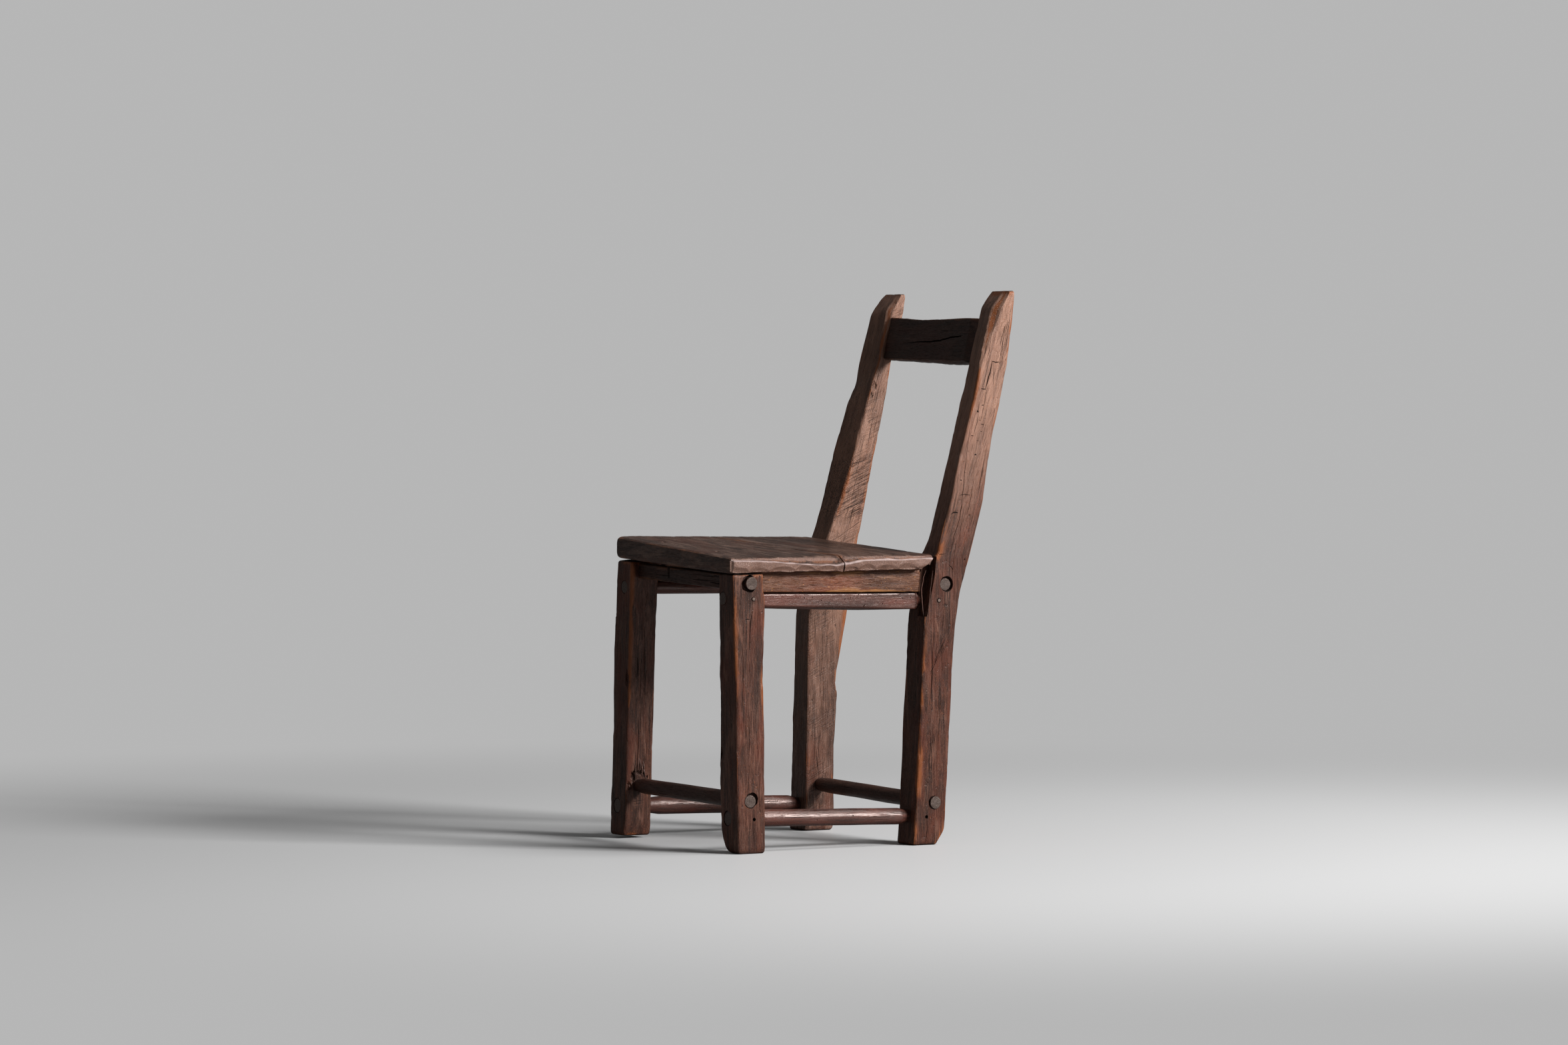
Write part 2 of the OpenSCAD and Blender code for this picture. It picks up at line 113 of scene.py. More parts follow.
def brick(size, step):
    """The surface of a box from the origin to size as an even grid: points and quads."""
    lines = [grid_lines(s, step) for s in size]
    counts = [len(g) for g in lines]
    index = {}
    points, faces = [], []

    def vertex(i, j, k):
        key = (i, j, k)
        if key not in index:
            index[key] = len(points)
            points.append((lines[0][i], lines[1][j], lines[2][k]))
        return index[key]

    for axis in range(3):
        a, b = (axis + 1) % 3, (axis + 2) % 3
        for end in (0, counts[axis] - 1):
            for i in range(counts[a] - 1):
                for j in range(counts[b] - 1):
                    quad = []
                    for di, dj in ((0, 0), (1, 0), (1, 1), (0, 1)):
                        at = [0, 0, 0]
                        at[axis], at[a], at[b] = end, i + di, j + dj
                        quad.append(vertex(*at))
                    faces.append(quad if end else quad[::-1])
    return np.array(points), faces


def edge_distance(points, size):
    """How far each point of a box's surface is from the nearest edge of the box."""
    to_faces = np.minimum(points, np.array(size) - points)
    return np.sort(to_faces, axis=1)[:, 1]


def soften(points, size, radius):
    """Rounds a box's edges and corners. radius is one number or one for each point."""
    size = np.array(size, float)
    radius = np.broadcast_to(np.asarray(radius, float), len(points))[:, None]
    radius = np.minimum(radius, size.min() / 2.2)
    core = np.clip(points, radius, size - radius)
    out = points - core
    length = np.linalg.norm(out, axis=1)[:, None]
    return core + out / np.maximum(length, 1e-9) * radius


def pare(points, size, a, b, far_a, far_b, width_a, width_b):
    """Pares a chamfer off one edge of a straight box. a and b are the axes across the edge, far_a and far_b
    say whether it lies on their far faces, and the widths may be one number or one for each point."""
    gap_a = size[a] - points[:, a] if far_a else points[:, a]
    gap_b = size[b] - points[:, b] if far_b else points[:, b]
    short = np.maximum(1 - gap_a / width_a - gap_b / width_b, 0) / 2
    points[:, a] += short * width_a * (-1 if far_a else 1)
    points[:, b] += short * width_b * (-1 if far_b else 1)
    return points


def ring_faces(low, high, sides):
    """Quads between two rings of points, whose first points have the numbers low and high."""
    return [[low + i, low + (i + 1) % sides, high + (i + 1) % sides, high + i] for i in range(sides)]


def rod_surface(length, radius_at, sides, step, dome):
    """A round member along +Z with rounded ends: points and faces. radius_at gives the radius at a height."""
    first, last = radius_at(0.0), radius_at(length)
    inner = np.array((0.25, 0.5, 0.75))
    bends = np.linspace(0, math.pi / 2, 5)
    rings = [(0.0, (first - dome) * share) for share in inner]
    rings += [(dome * (1 - math.sin(t)), first - dome * (1 - math.cos(t))) for t in bends[::-1]]
    rings += [(h, radius_at(h)) for h in np.arange(dome + step, length - dome - step / 2, step)]
    rings += [(length - dome * (1 - math.sin(t)), last - dome * (1 - math.cos(t))) for t in bends]
    rings += [(length, (last - dome) * share) for share in inner[::-1]]
    turns = np.arange(sides) * math.tau / sides
    points = [(0.0, 0.0, 0.0)]
    for height, r in rings:
        points += [(r * math.cos(t), r * math.sin(t), height) for t in turns]
    points.append((0.0, 0.0, length))
    faces = [[0, 1 + (i + 1) % sides, 1 + i] for i in range(sides)]
    for k in range(len(rings) - 1):
        faces += ring_faces(1 + k * sides, 1 + (k + 1) * sides, sides)
    end, top = 1 + (len(rings) - 1) * sides, len(points) - 1
    faces += [[end + i, end + (i + 1) % sides, top] for i in range(sides)]
    return np.array(points), faces


def make_object(name, points, faces):
    """A mesh object from points in millimetres."""
    mesh = bpy.data.meshes.new(name)
    mesh.from_pydata([tuple(p) for p in points * MM], [], faces)
    mesh.update()
    made = bpy.data.objects.new(name, mesh)
    bpy.context.scene.collection.objects.link(made)
    return made


def two_slots(made):
    """Slot 0 is for the piece's surface, and slot 1 for the near-black inside of cuts, which paints their
    shade along with their dirt.
    """
    made.data.materials.append(None)
    made.data.materials.append(None)
    return made


def vertex_normals(made):
    normals = np.zeros(len(made.data.vertices) * 3)
    made.data.vertices.foreach_get("normal", normals)
    return normals.reshape(-1, 3)


def set_points(made, points):
    made.data.vertices.foreach_set("co", (points * MM).ravel())
    made.data.update()


def paint(made, name, values):
    """Stores one number for each vertex on the face corners, where cuts keep it."""
    corners = np.zeros(len(made.data.loops), int)
    made.data.loops.foreach_get("vertex_index", corners)
    layer = made.data.attributes.new(name, "FLOAT", "CORNER")
    layer.data.foreach_set("value", values[corners].astype(np.float32))


def flip_if_inside_out(made):
    """Turns the faces over when their normals point into the piece."""
    points = np.array([v.co for v in made.data.vertices])
    outwards = (vertex_normals(made) * (points - points.mean(0))).sum()
    if outwards < 0:
        made.data.flip_normals()


def carve(made, tools):
    """Cuts tools out of a piece and deletes them."""
    for tool in tools:
        step = made.modifiers.new("step", "BOOLEAN")
        step.operation, step.solver, step.object = "DIFFERENCE", "MANIFOLD", tool
    graph = bpy.context.evaluated_depsgraph_get()
    result = bpy.data.meshes.new_from_object(made.evaluated_get(graph))
    made.modifiers.clear()
    old, made.data = made.data, result
    bpy.data.meshes.remove(old)
    for tool in tools:
        bpy.data.meshes.remove(tool.data)


# ---------------------------------------------------------------- hewing

def grain_scale(along, across, axis):
    """Divides coordinates by a feature's length along the grain and its width across it."""
    scale = np.full(3, float(across))
    scale[axis] = along
    return 1 / scale


def hew(made, points, edges, axis, seed, wave=0.8, dish=0.7, ridge=0.2, nick=1.6,
        dish_size=(42, 22), keep=None, bias=0.0):
    """Moves the surface in and out like hewn, worn wood, and stores where it is worn.

    edges is each point's distance from an edge, axis the direction of the grain, keep, from 0 to 1,
    how much of the movement each point takes, and bias how far the whole surface goes in."""
    set_points(made, points)
    flip_if_inside_out(made)
    normals = vertex_normals(made)
    waves = rough(points * grain_scale(120, 46, axis), seed, 2)
    strokes = dishes(points * grain_scale(*dish_size, axis), seed)
    fibres = noise(points * grain_scale(55, 5, axis), seed + 3)
    knocks = np.maximum(noise(points * grain_scale(16, 11, axis), seed + 5) - 0.12, 0)
    near_edge = np.exp(-(edges / 5) ** 2)
    move = wave * waves - dish * strokes + ridge * fibres - nick * knocks * near_edge - bias
    if keep is not None:
        move = move * keep
    set_points(made, points + normals * move[:, None])
    paint(made, "edge", np.exp(-edges / 4.5))
    paint(made, "high", np.clip(0.5 - 0.4 * strokes + 0.35 * waves, 0, 1))


def crack(path, normal, width, depth, seed=0, rise=3.0, step=3.0, wobble=0.5):
    """A cutter for a check in the wood: a thin wedge along path, open outwards and pointed at both ends."""
    path = [np.array(p, float) for p in path]
    normal = np.array(normal, float) / np.linalg.norm(normal)
    lengths = [np.linalg.norm(b - a) for a, b in zip(path, path[1:])]
    total = sum(lengths)
    count = max(4, int(total / step) + 1)
    marks = np.linspace(0, total, count)
    ends = np.concatenate([[0], np.cumsum(lengths)])
    spine = np.array([[np.interp(m, ends, [p[i] for p in path]) for i in range(3)] for m in marks])
    sway = noise(np.stack([marks / 9, np.full(count, seed * 3.3), np.zeros(count)], 1), seed) * wobble
    points, faces = [], []
    for k in range(count):
        ahead = spine[min(k + 1, count - 1)] - spine[max(k - 1, 0)]
        side = np.cross(ahead, normal)
        side /= np.linalg.norm(side)
        share = max(math.sin(math.pi * (k + 0.35) / (count - 0.3)), 0.12) ** 0.6
        deep = depth * share
        half = width * share / 2 * (deep + rise) / deep
        centre = spine[k] + side * sway[k]
        points += [centre + normal * rise + side * half, centre + normal * rise - side * half,
                   centre - normal * deep]
    for k in range(count - 1):
        a, b = 3 * k, 3 * k + 3
        for i in range(3):
            j = (i + 1) % 3
            faces.append([a + i, b + i, b + j, a + j])
    faces += [[0, 1, 2], [3 * count - 1, 3 * count - 2, 3 * count - 3]]
    cutter = make_object("cutter", np.array(points), faces)
    outward_by_volume(cutter)
    return as_cutter(cutter)


def outward_by_volume(made):
    """Turns a closed mesh's faces outwards."""
    mesh = made.data
    mesh.calc_loop_triangles()
    volume = 0.0
    for t in mesh.loop_triangles:
        a, b, c = (mesh.vertices[i].co for i in t.vertices)
        volume += a.dot(b.cross(c))
    if volume < 0:
        mesh.flip_normals()


def as_cutter(made):
    """Gives what a cutter leaves behind the second material slot, the near-black inside of cuts: painted
    shade together with dirt.
    """
    two_slots(made)
    for face in made.data.polygons:
        face.material_index = 1
    return made


def bore(centre, axis, radius, depth, rise=4.0, seed=0, unevenness=0.04, sides=40):
    """A cutter for a round hole: centre is on the surface, axis points out of the wood."""
    turns = np.arange(sides) * math.tau / sides
    circle = np.stack([2 * np.cos(turns), 2 * np.sin(turns), np.full(sides, float(seed))], 1)
    wobble = 1 + unevenness * noise(circle, seed)
    points = []
    for height, shrink in ((-depth, 0.96), (-depth / 2, 0.98), (rise, 1.0)):
        points += [(radius * shrink * w * math.cos(t), radius * shrink * w * math.sin(t), height)
                   for t, w in zip(turns, wobble)]
    faces = [list(range(sides))[::-1], [2 * sides + i for i in range(sides)]]
    faces += [face for first in (0, sides) for face in ring_faces(first, first + sides, sides)]
    cutter = make_object("cutter", np.array(points), faces)
    turn = Vector((0, 0, 1)).rotation_difference(Vector(axis)).to_matrix().to_4x4()
    cutter.data.transform(Matrix.Translation(Vector(centre) * MM) @ turn)
    return as_cutter(cutter)


def pit(centre, radii, seed=0, unevenness=0.35, inside=True):
    """A cutter for an eroded hollow or gouge: an uneven ball."""
    bpy.ops.mesh.primitive_ico_sphere_add(subdivisions=4, radius=1)
    cutter = bpy.context.object
    points = np.array([v.co for v in cutter.data.vertices])
    grow = 1 + unevenness * rough(points * 1.6, seed, 3)
    set_points(cutter, points * grow[:, None] * np.array(radii, float) + np.array(centre, float))
    return as_cutter(cutter) if inside else plain_cutter(cutter)


def plain_cutter(made):
    """A cutter that leaves the same surface as the rest of the piece."""
    made.data.materials.append(None)
    return made


def scatter_checks(count, low, high, axis, normal, seed, width=(0.35, 0.8), length=(18, 70)):
    """Fine checks along the grain at random places in a box that lies in a face."""
    dice = np.random.default_rng(seed)
    low, high = np.array(low, float), np.array(high, float)
    found = []
    for k in range(count):
        start = low + (high - low) * dice.random(3)
        reach = dice.uniform(*length)
        path = []
        for share in (0, 0.35, 0.7, 1):
            point = start.copy()
            point[axis] += reach * share
            point += dice.normal(size=3) * 0.7
            path.append(point)
        found.append(crack(path, normal, dice.uniform(*width), dice.uniform(2, 4.5), seed + k))
    return found


# ---------------------------------------------------------------- materials

def add(tree, kind, settings=None, **inputs):
    """Adds a shader node. An input is a value or another node's output; in1 is the input with number 1."""
    made = tree.nodes.new(kind)
    for name, value in (settings or {}).items():
        setattr(made, name, value)
    for name, value in inputs.items():
        socket = made.inputs[int(name[2:])] if name[:2] == "in" and name[2:].isdigit() else made.inputs[name]
        if isinstance(value, bpy.types.NodeSocket):
            tree.links.new(value, socket)
        else:
            socket.default_value = value
    return made


def calc(tree, operation, a, b=0.0):
    return add(tree, "ShaderNodeMath", {"operation": operation}, in0=a, in1=b).outputs[0]


def weigh(tree, value, weight, rest):
    """rest + value * weight."""
    settings = {"operation": "MULTIPLY_ADD"}
    return add(tree, "ShaderNodeMath", settings, in0=value, in1=weight, in2=rest).outputs[0]


def remap(tree, value, low, high, to_low=0.0, to_high=1.0):
    return add(tree, "ShaderNodeMapRange", {"interpolation_type": "SMOOTHSTEP"}, Value=value,
               **{"From Min": low, "From Max": high, "To Min": to_low, "To Max": to_high}).outputs[0]


def blend(tree, share, a, b):
    """Mixes two colours. A colour is three numbers or another node's output."""
    a, b = [value if isinstance(value, bpy.types.NodeSocket) else (*value, 1.0) for value in (a, b)]
    return add(tree, "ShaderNodeMix", {"data_type": "RGBA"}, in0=share, in6=a, in7=b).outputs[2]


def blend_value(tree, share, a, b):
    """Mixes two numbers."""
    return add(tree, "ShaderNodeMix", {"data_type": "FLOAT"}, in0=share, in2=a, in3=b).outputs[0]


def stretched_noise(tree, place, axis, along, across, detail, roughness=0.6, distortion=0.0, seed=0.0):
    """Noise with features of the given size in millimetres along and across the grain."""
    scale = [1 / across] * 3
    scale[axis] = 1 / along
    scaled = add(tree, "ShaderNodeVectorMath", {"operation": "MULTIPLY"}, in0=place, in1=scale).outputs[0]
    moved = add(tree, "ShaderNodeVectorMath", {"operation": "ADD"}, in0=scaled, in1=(seed, seed * 0.7, -seed))
    return add(tree, "ShaderNodeTexNoise", Vector=moved.outputs[0], Scale=1.0, Detail=float(detail),
               Roughness=roughness, Distortion=distortion).outputs[0]


def place_in_millimetres(tree, lean=0.0, lean_from=0.0):
    """Object coordinates in millimetres; above lean_from they lean back with a raked post."""
    place = add(tree, "ShaderNodeTexCoord").outputs["Object"]
    place = add(tree, "ShaderNodeVectorMath", {"operation": "SCALE"}, in0=place, Scale=1 / MM).outputs[0]
    if not lean:
        return place
    parts = add(tree, "ShaderNodeSeparateXYZ", in0=place).outputs
    above = calc(tree, "MAXIMUM", calc(tree, "SUBTRACT", parts[2], lean_from), 0.0)
    back = calc(tree, "MULTIPLY", above, lean)
    return add(tree, "ShaderNodeCombineXYZ", in0=parts[0], in1=calc(tree, "SUBTRACT", parts[1], back),
               in2=parts[2]).outputs[0]


def wood(name, axis, dark, mid, light, rubbed, end, lean=(0.0, 0.0), gloss=0.36, seed=0.0, flecks=0.4,
         saw=0.0, pale=0.3, worn_edges=1.0, tan=None, figure=0.7, polish=0.6, relief=1.0):
    """Old waxed hardwood with its grain along axis.

    dark, mid and light are the tones of the grain, rubbed is that of worn edges and end that of end grain.
    lean is (slope, height where it starts) of a raked post's grain. pale is how much of the surface the light
    tone takes, flecks and worn_edges are how strong the rubbed tone is in spots and along edges, gloss is the
    roughness of the wax, polish its strength, figure the strength of the broad grain, relief the depth of the
    fine grain and saw that of saw marks. tan is (lowest height, height where it is strongest, strength) of
    a lighter tone that comes in with height."""
    material = bpy.data.materials.new(name)
    material.use_nodes = True
    tree = material.node_tree
    shader = tree.nodes["Principled BSDF"]
    place = place_in_millimetres(tree, *lean)
    streak = stretched_noise(tree, place, axis, 150, 7.5, 5, 0.62, 0.4, seed)
    band = stretched_noise(tree, place, axis, 60, 2.6, 4, 0.65, 0.3, seed + 4)
    fibre = stretched_noise(tree, place, axis, 30, 0.8, 3, 0.65, 0.1, seed + 24)
    patch = stretched_noise(tree, place, axis, 110, 38, 3, 0.55, 0.5, seed + 8)
    bleach = stretched_noise(tree, place, axis, 70, 16, 4, 0.6, 0.6, seed + 20)
    fleck = stretched_noise(tree, place, axis, 5, 1.9, 2, 0.6, 0.0, seed + 12)
    pore = stretched_noise(tree, place, axis, 17, 0.6, 2, 0.55, 0.1, seed + 16)
    dent = stretched_noise(tree, place, axis, 9, 5, 2, 0.5, 0.0, seed + 28)

    body = blend(tree, remap(tree, streak, 0.33, 0.62), dark, mid)
    body = blend(tree, remap(tree, band, 0.50, 0.68, 0.0, figure), body, light)
    body = blend(tree, remap(tree, band, 0.47, 0.32, 0.0, figure), body, dark)
    body = blend(tree, remap(tree, fibre, 0.56, 0.78, 0.0, 0.4), body, light)
    grit = stretched_noise(tree, place, axis, 2.2, 1.3, 3, 0.75, 0.0, seed + 40)
    body = blend(tree, remap(tree, grit, 0.53, 0.68, 0.0, 0.6), body, light)
    body = blend(tree, remap(tree, grit, 0.47, 0.32, 0.0, 0.7), body, dark)
    red = tuple(c * k for c, k in zip(mid, (1.25, 0.82, 0.66)))
    body = blend(tree, remap(tree, patch, 0.44, 0.66, 0.0, 0.6), body, red)
    body = blend(tree, remap(tree, bleach, 0.62 - 0.2 * pale, 0.80 - 0.2 * pale, 0.0, 0.75), body, light)
    soot = stretched_noise(tree, place, axis, 80, 24, 4, 0.6, 0.8, seed + 44)
    body = blend(tree, remap(tree, soot, 0.44, 0.28, 0.0, 0.7), body, dark)
    if tan:
        height = add(tree, "ShaderNodeSeparateXYZ", in0=place).outputs[2]
        share = calc(tree, "MULTIPLY", remap(tree, height, tan[0], tan[1], 0.0, tan[2]),
                     remap(tree, streak, 0.30, 0.60, 0.45, 1.0))
        body = blend(tree, share, body, TAN)
    high = add(tree, "ShaderNodeAttribute", {"attribute_name": "high"}).outputs["Fac"]
    body = blend(tree, remap(tree, high, 0.45, 0.85, 0.0, 0.3), body, light)
    body = blend(tree, remap(tree, high, 0.35, 0.0, 0.0, 0.3), body, dark)
    body = blend(tree, remap(tree, pore, 0.40, 0.30, 0.0, 0.75), body, tuple(c * 0.7 for c in dark))
    if saw:
        kerfs = saw_marks(tree, place)
        body = blend(tree, weigh(tree, kerfs, -0.75, 0.75), body, dark)
    body = blend(tree, remap(tree, dent, 0.32, 0.22, 0.0, 0.8), body, dark)
    body = blend(tree, remap(tree, fleck, 0.64, 0.74, 0.0, flecks), body, tuple(c * 1.3 for c in rubbed))

    edge = add(tree, "ShaderNodeAttribute", {"attribute_name": "edge"}).outputs["Fac"]
    zone = stretched_noise(tree, place, axis, 130, 60, 2, 0.5, 0.0, seed + 32)
    zone = weigh(tree, band, 0.4, calc(tree, "MULTIPLY", zone, 0.75))
    worn = calc(tree, "MULTIPLY", edge, remap(tree, zone, 0.52, 0.70, 0.0, 1.6 * worn_edges))
    worn = calc(tree, "MULTIPLY", worn, remap(tree, bleach, 0.36, 0.56, 0.35, 1.1))
    body = blend(tree, remap(tree, worn, 0.25, 0.95, 0.0, 0.9), body, rubbed)

    # painted highlight: a pale tone along the arris of the seat's left end, and faintly on the splinters,
    # stands for the light they catch
    painted_highlight = add(tree, "ShaderNodeAttribute", {"attribute_name": "painted_highlight"}).outputs["Fac"]
    facing = add(tree, "ShaderNodeSeparateXYZ", in0=add(tree, "ShaderNodeNewGeometry").outputs["Normal"])
    across_grain = calc(tree, "ABSOLUTE", facing.outputs[axis])
    rings = stretched_noise(tree, place, axis, 40, 1.5, 4, 0.7, 0.6, seed + 36)
    end_tone = blend(tree, remap(tree, rings, 0.35, 0.65), tuple(c * 0.45 for c in end), end)
    end_share = remap(tree, across_grain, 0.66, 0.90)
    body = blend(tree, end_share, body, end_tone)
    body = blend(tree, remap(tree, painted_highlight, 0.15, 0.8, 0.0, 0.9), body, PAINTED_HIGHLIGHT_TONE)

    # painted shade: ambient occlusion darkens the colour where nearby wood closes the surface in, in cracks,
    # joints and corners; it also stands for dirt gathered there and makes those places rougher
    crevice_dirt_and_shade = add(tree, "ShaderNodeAmbientOcclusion", {"samples": 6}, Distance=0.009).outputs["AO"]
    body = blend(tree, remap(tree, crevice_dirt_and_shade, 0.15, 0.65, 0.85, 0.0), body, tuple(c * 0.4 for c in dark))
    tree.links.new(body, shader.inputs["Base Color"])

    shine = weigh(tree, bleach, -0.22, gloss + 0.28)
    shine = weigh(tree, grit, -0.35, shine)
    shine = blend_value(tree, remap(tree, pore, 0.46, 0.34, 0.0, 1.0), shine, 0.7)
    shine = blend_value(tree, remap(tree, crevice_dirt_and_shade, 0.2, 0.7, 1.0, 0.0), shine, 0.8)
    tree.links.new(shine, shader.inputs["Roughness"])
    shader.inputs["Specular IOR Level"].default_value = polish
    shader.inputs["Specular Tint"].default_value = (1.0, 0.83, 0.77, 1.0)

    raised = [(streak, 0.7), (band, 0.55), (fibre, 0.45), (grit, 0.4), (remap(tree, pore, 0.33, 0.45), 0.35),
              (remap(tree, dent, 0.2, 0.36), 0.5)]
    if saw:
        raised.append((kerfs, saw))
    height = 0.0
    for part, weight in raised:
        height = weigh(tree, part, weight, height)
    bump = add(tree, "ShaderNodeBump", Strength=0.8, Distance=0.0011 * relief, Height=height)
    tree.links.new(bump.outputs[0], shader.inputs["Normal"])
    return material


def saw_marks(tree, place):
    """Parallel kerfs that rise across a face: 1 on the surface and 0 in a kerf. Most are above the seat."""
    turned = add(tree, "ShaderNodeVectorRotate", {"rotation_type": "X_AXIS"}, Vector=place,
                 Angle=math.radians(-26)).outputs[0]
    kerf = remap(tree, stretched_noise(tree, turned, 1, 42, 1.7, 2, 0.6, 0.15, 31.0), 0.50, 0.38)
    where = remap(tree, stretched_noise(tree, place, 2, 45, 30, 1, 0.5, 0.0, 37.0), 0.42, 0.60)
    height = add(tree, "ShaderNodeSeparateXYZ", in0=place).outputs[2]
    low = remap(tree, height, *SAWN[0])
    high = remap(tree, height, *SAWN[1])
    where = calc(tree, "MAXIMUM", calc(tree, "MULTIPLY", low, high), calc(tree, "MULTIPLY", where, 0.45))
    return calc(tree, "SUBTRACT", 1.0, calc(tree, "MULTIPLY", kerf, where))


def dirty_and_shaded_inside(name, dark):
    """Near-black colour for the inside of checks, holes, gaps and splits: painted shade together with the
    dirt in them.
    """
    material = bpy.data.materials.new(name)
    material.use_nodes = True
    tree = material.node_tree
    shader = tree.nodes["Principled BSDF"]
    place = place_in_millimetres(tree)
    speckle = stretched_noise(tree, place, 2, 9, 1.5, 3, 0.6)
    colour = blend(tree, remap(tree, speckle, 0.35, 0.7), tuple(c * 0.15 for c in dark),
                   tuple(c * 0.55 for c in dark))
    tree.links.new(colour, shader.inputs["Base Color"])
    shader.inputs["Roughness"].default_value = 0.85
    bump = add(tree, "ShaderNodeBump", Strength=0.6, Distance=0.001, Height=speckle)
    tree.links.new(bump.outputs[0], shader.inputs["Normal"])
    return material


SAWN = ((480.0, 505.0), (605.0, 575.0))      # heights over which the saw marks come in and go out again
ALONG_X, ALONG_Y, ALONG_Z = 0, 1, 2
DARK = (0.020, 0.0065, 0.0035)
MID = (0.108, 0.034, 0.018)
LIGHT = (0.240, 0.112, 0.076)
RUBBED = (0.320, 0.095, 0.028)
TAN = (0.440, 0.235, 0.160)
# pale colour of the painted highlight
PAINTED_HIGHLIGHT_TONE = (0.600, 0.450, 0.420)
END = (0.066, 0.040, 0.031)
RAKE = (0.272, 440.0)

leg_wood = wood("leg_wood", ALONG_Z, DARK, (0.118, 0.037, 0.020), LIGHT, RUBBED, END, seed=1.0, pale=0.55,
                worn_edges=1.2)
left_post_wood = wood("left_post_wood", ALONG_Z, DARK, MID, LIGHT, RUBBED, END, lean=RAKE, seed=2.0,
                      tan=(420.0, 720.0, 0.95), worn_edges=1.7)
right_post_wood = wood("right_post_wood", ALONG_Z, DARK, (0.120, 0.050, 0.031), (0.290, 0.165, 0.122), RUBBED,
                       END, lean=RAKE, seed=2.5, saw=1.2, pale=0.5, tan=(20.0, 520.0, 0.8), worn_edges=1.4)
seat_wood = wood("seat_wood", ALONG_X, (0.020, 0.0085, 0.0055), (0.085, 0.040, 0.026), (0.250, 0.150, 0.112),
                 (0.250, 0.100, 0.050), (0.300, 0.160, 0.115), gloss=0.32, seed=3.0, pale=0.7, figure=0.85,
                 polish=0.8)
crest_wood = wood("crest_wood", ALONG_X, (0.012, 0.005, 0.0035), (0.052, 0.020, 0.012), (0.115, 0.055, 0.038),
                  (0.150, 0.052, 0.022), END, seed=4.0, flecks=0.2)
strip_wood = wood("strip_wood", ALONG_Y, (0.060, 0.020, 0.009), (0.190, 0.072, 0.034), (0.340, 0.160, 0.088),
                  (0.400, 0.170, 0.055), END, gloss=0.42, seed=5.0, flecks=1.0, figure=0.35, polish=0.5,
                  relief=0.7)
cross_wood = wood("cross_wood", ALONG_X, (0.015, 0.006, 0.004), (0.062, 0.025, 0.016), (0.135, 0.070, 0.050),
                  (0.180, 0.070, 0.030), (0.140, 0.098, 0.080), seed=6.0, flecks=0.3, figure=0.4)
rod_wood = wood("rod_wood", ALONG_Y, (0.028, 0.008, 0.005), (0.115, 0.036, 0.024), (0.230, 0.110, 0.086),
                (0.260, 0.085, 0.038), (0.110, 0.075, 0.060), gloss=0.30, seed=7.0, pale=0.2, figure=0.3,
                polish=0.9, relief=0.35)
peg_wood = wood("peg_wood", ALONG_X, (0.05, 0.030, 0.021), (0.16, 0.100, 0.075), (0.30, 0.22, 0.18),
                (0.25, 0.15, 0.10), (0.26, 0.185, 0.15), gloss=0.5, seed=8.0)
# painted shade: the near-black inside of cracks, holes and gaps, together with their dirt
inside_dirt_and_shade = dirty_and_shaded_inside("inside_dirt_and_shade", DARK)


# ---------------------------------------------------------------- finishing a piece

SHARP = math.radians(48)      # faces that meet at a greater angle keep a sharp edge


def finish_piece(made, node, surface):
    """Gives a piece its materials and puts it in its CAD node's place."""
    made.data.materials.clear()
    made.data.materials.append(surface)
    made.data.materials.append(inside_dirt_and_shade)
    made.data.shade_smooth()
    made.data.set_sharp_from_angle(angle=SHARP)
    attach(made, "root")
    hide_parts(node)
    return made


def worked_rod(name, start, end, radius_at, axis, seed, sides=56, step=2.6, dome=1.2, bow=(0, 0, 0),
               **hewing):
    """A shaved round member from start to end. bow moves its middle sideways."""
    start, end = np.array(start, float), np.array(end, float)
    length = np.linalg.norm(end - start)
    points, faces = rod_surface(length, radius_at, sides, step, dome)
    turn = np.array(Vector((0, 0, 1)).rotation_difference(Vector(end - start)).to_matrix())
    from_end = np.minimum(points[:, 2], length - points[:, 2])
    bent = np.clip((from_end - 45) / 25, 0, 1)[:, None] * np.array(bow, float)
    placed = points @ turn.T + start + bent
    made = make_object(name, placed, faces)
    hew(made, placed, from_end + 3, axis, seed, **{"wave": 0.35, "dish": 0.35, "ridge": 0.15, "nick": 0.4,
                                                    "dish_size": (60, 11), **hewing})
    two_slots(made)
    return made


def table(rows):
    """A function that reads a value off rows of (place, value)."""
    places, values = [r[0] for r in rows], [r[1] for r in rows]
    return lambda at: np.interp(at, places, values)


def smooth_table(rows, blur=4.0):
    """Like table, with its corners eased over blur millimetres."""
    read = table(rows)
    fine = np.arange(rows[0][0] - 30, rows[-1][0] + 30, 1.0)
    reach = np.arange(-int(3 * blur), int(3 * blur) + 1)
    kernel = np.exp(-(reach / blur) ** 2)
    ends = np.concatenate([np.full(len(reach) // 2, fine[0]), fine, np.full(len(reach) // 2, fine[-1])])
    eased = np.convolve(read(ends), kernel / kernel.sum(), "valid")
    return lambda at: np.interp(at, fine, eased)


def between(a, b, share):
    return a + (b - a) * share


def join(made, others):
    """Adds other meshes to a piece."""
    for other in [made, *others]:
        other.select_set(True)
    bpy.context.view_layer.objects.active = made
    bpy.ops.object.join()
    bpy.ops.object.select_all(action="DESELECT")
    return made


def inside_box(made, node, upright=True):
    """Keeps a piece within the box of the CAD node it stands for, but not in height when upright is False."""
    low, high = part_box(node)
    if not upright:
        low.z, high.z = low.z - 0.01, high.z + 0.01
    points = np.zeros(len(made.data.vertices) * 3)
    made.data.vertices.foreach_get("co", points)
    points = np.clip(points.reshape(-1, 3), np.array(low), np.array(high))
    set_points(made, points / MM)


# ---------------------------------------------------------------- legs and posts

TALL = 900.0     # higher than any member


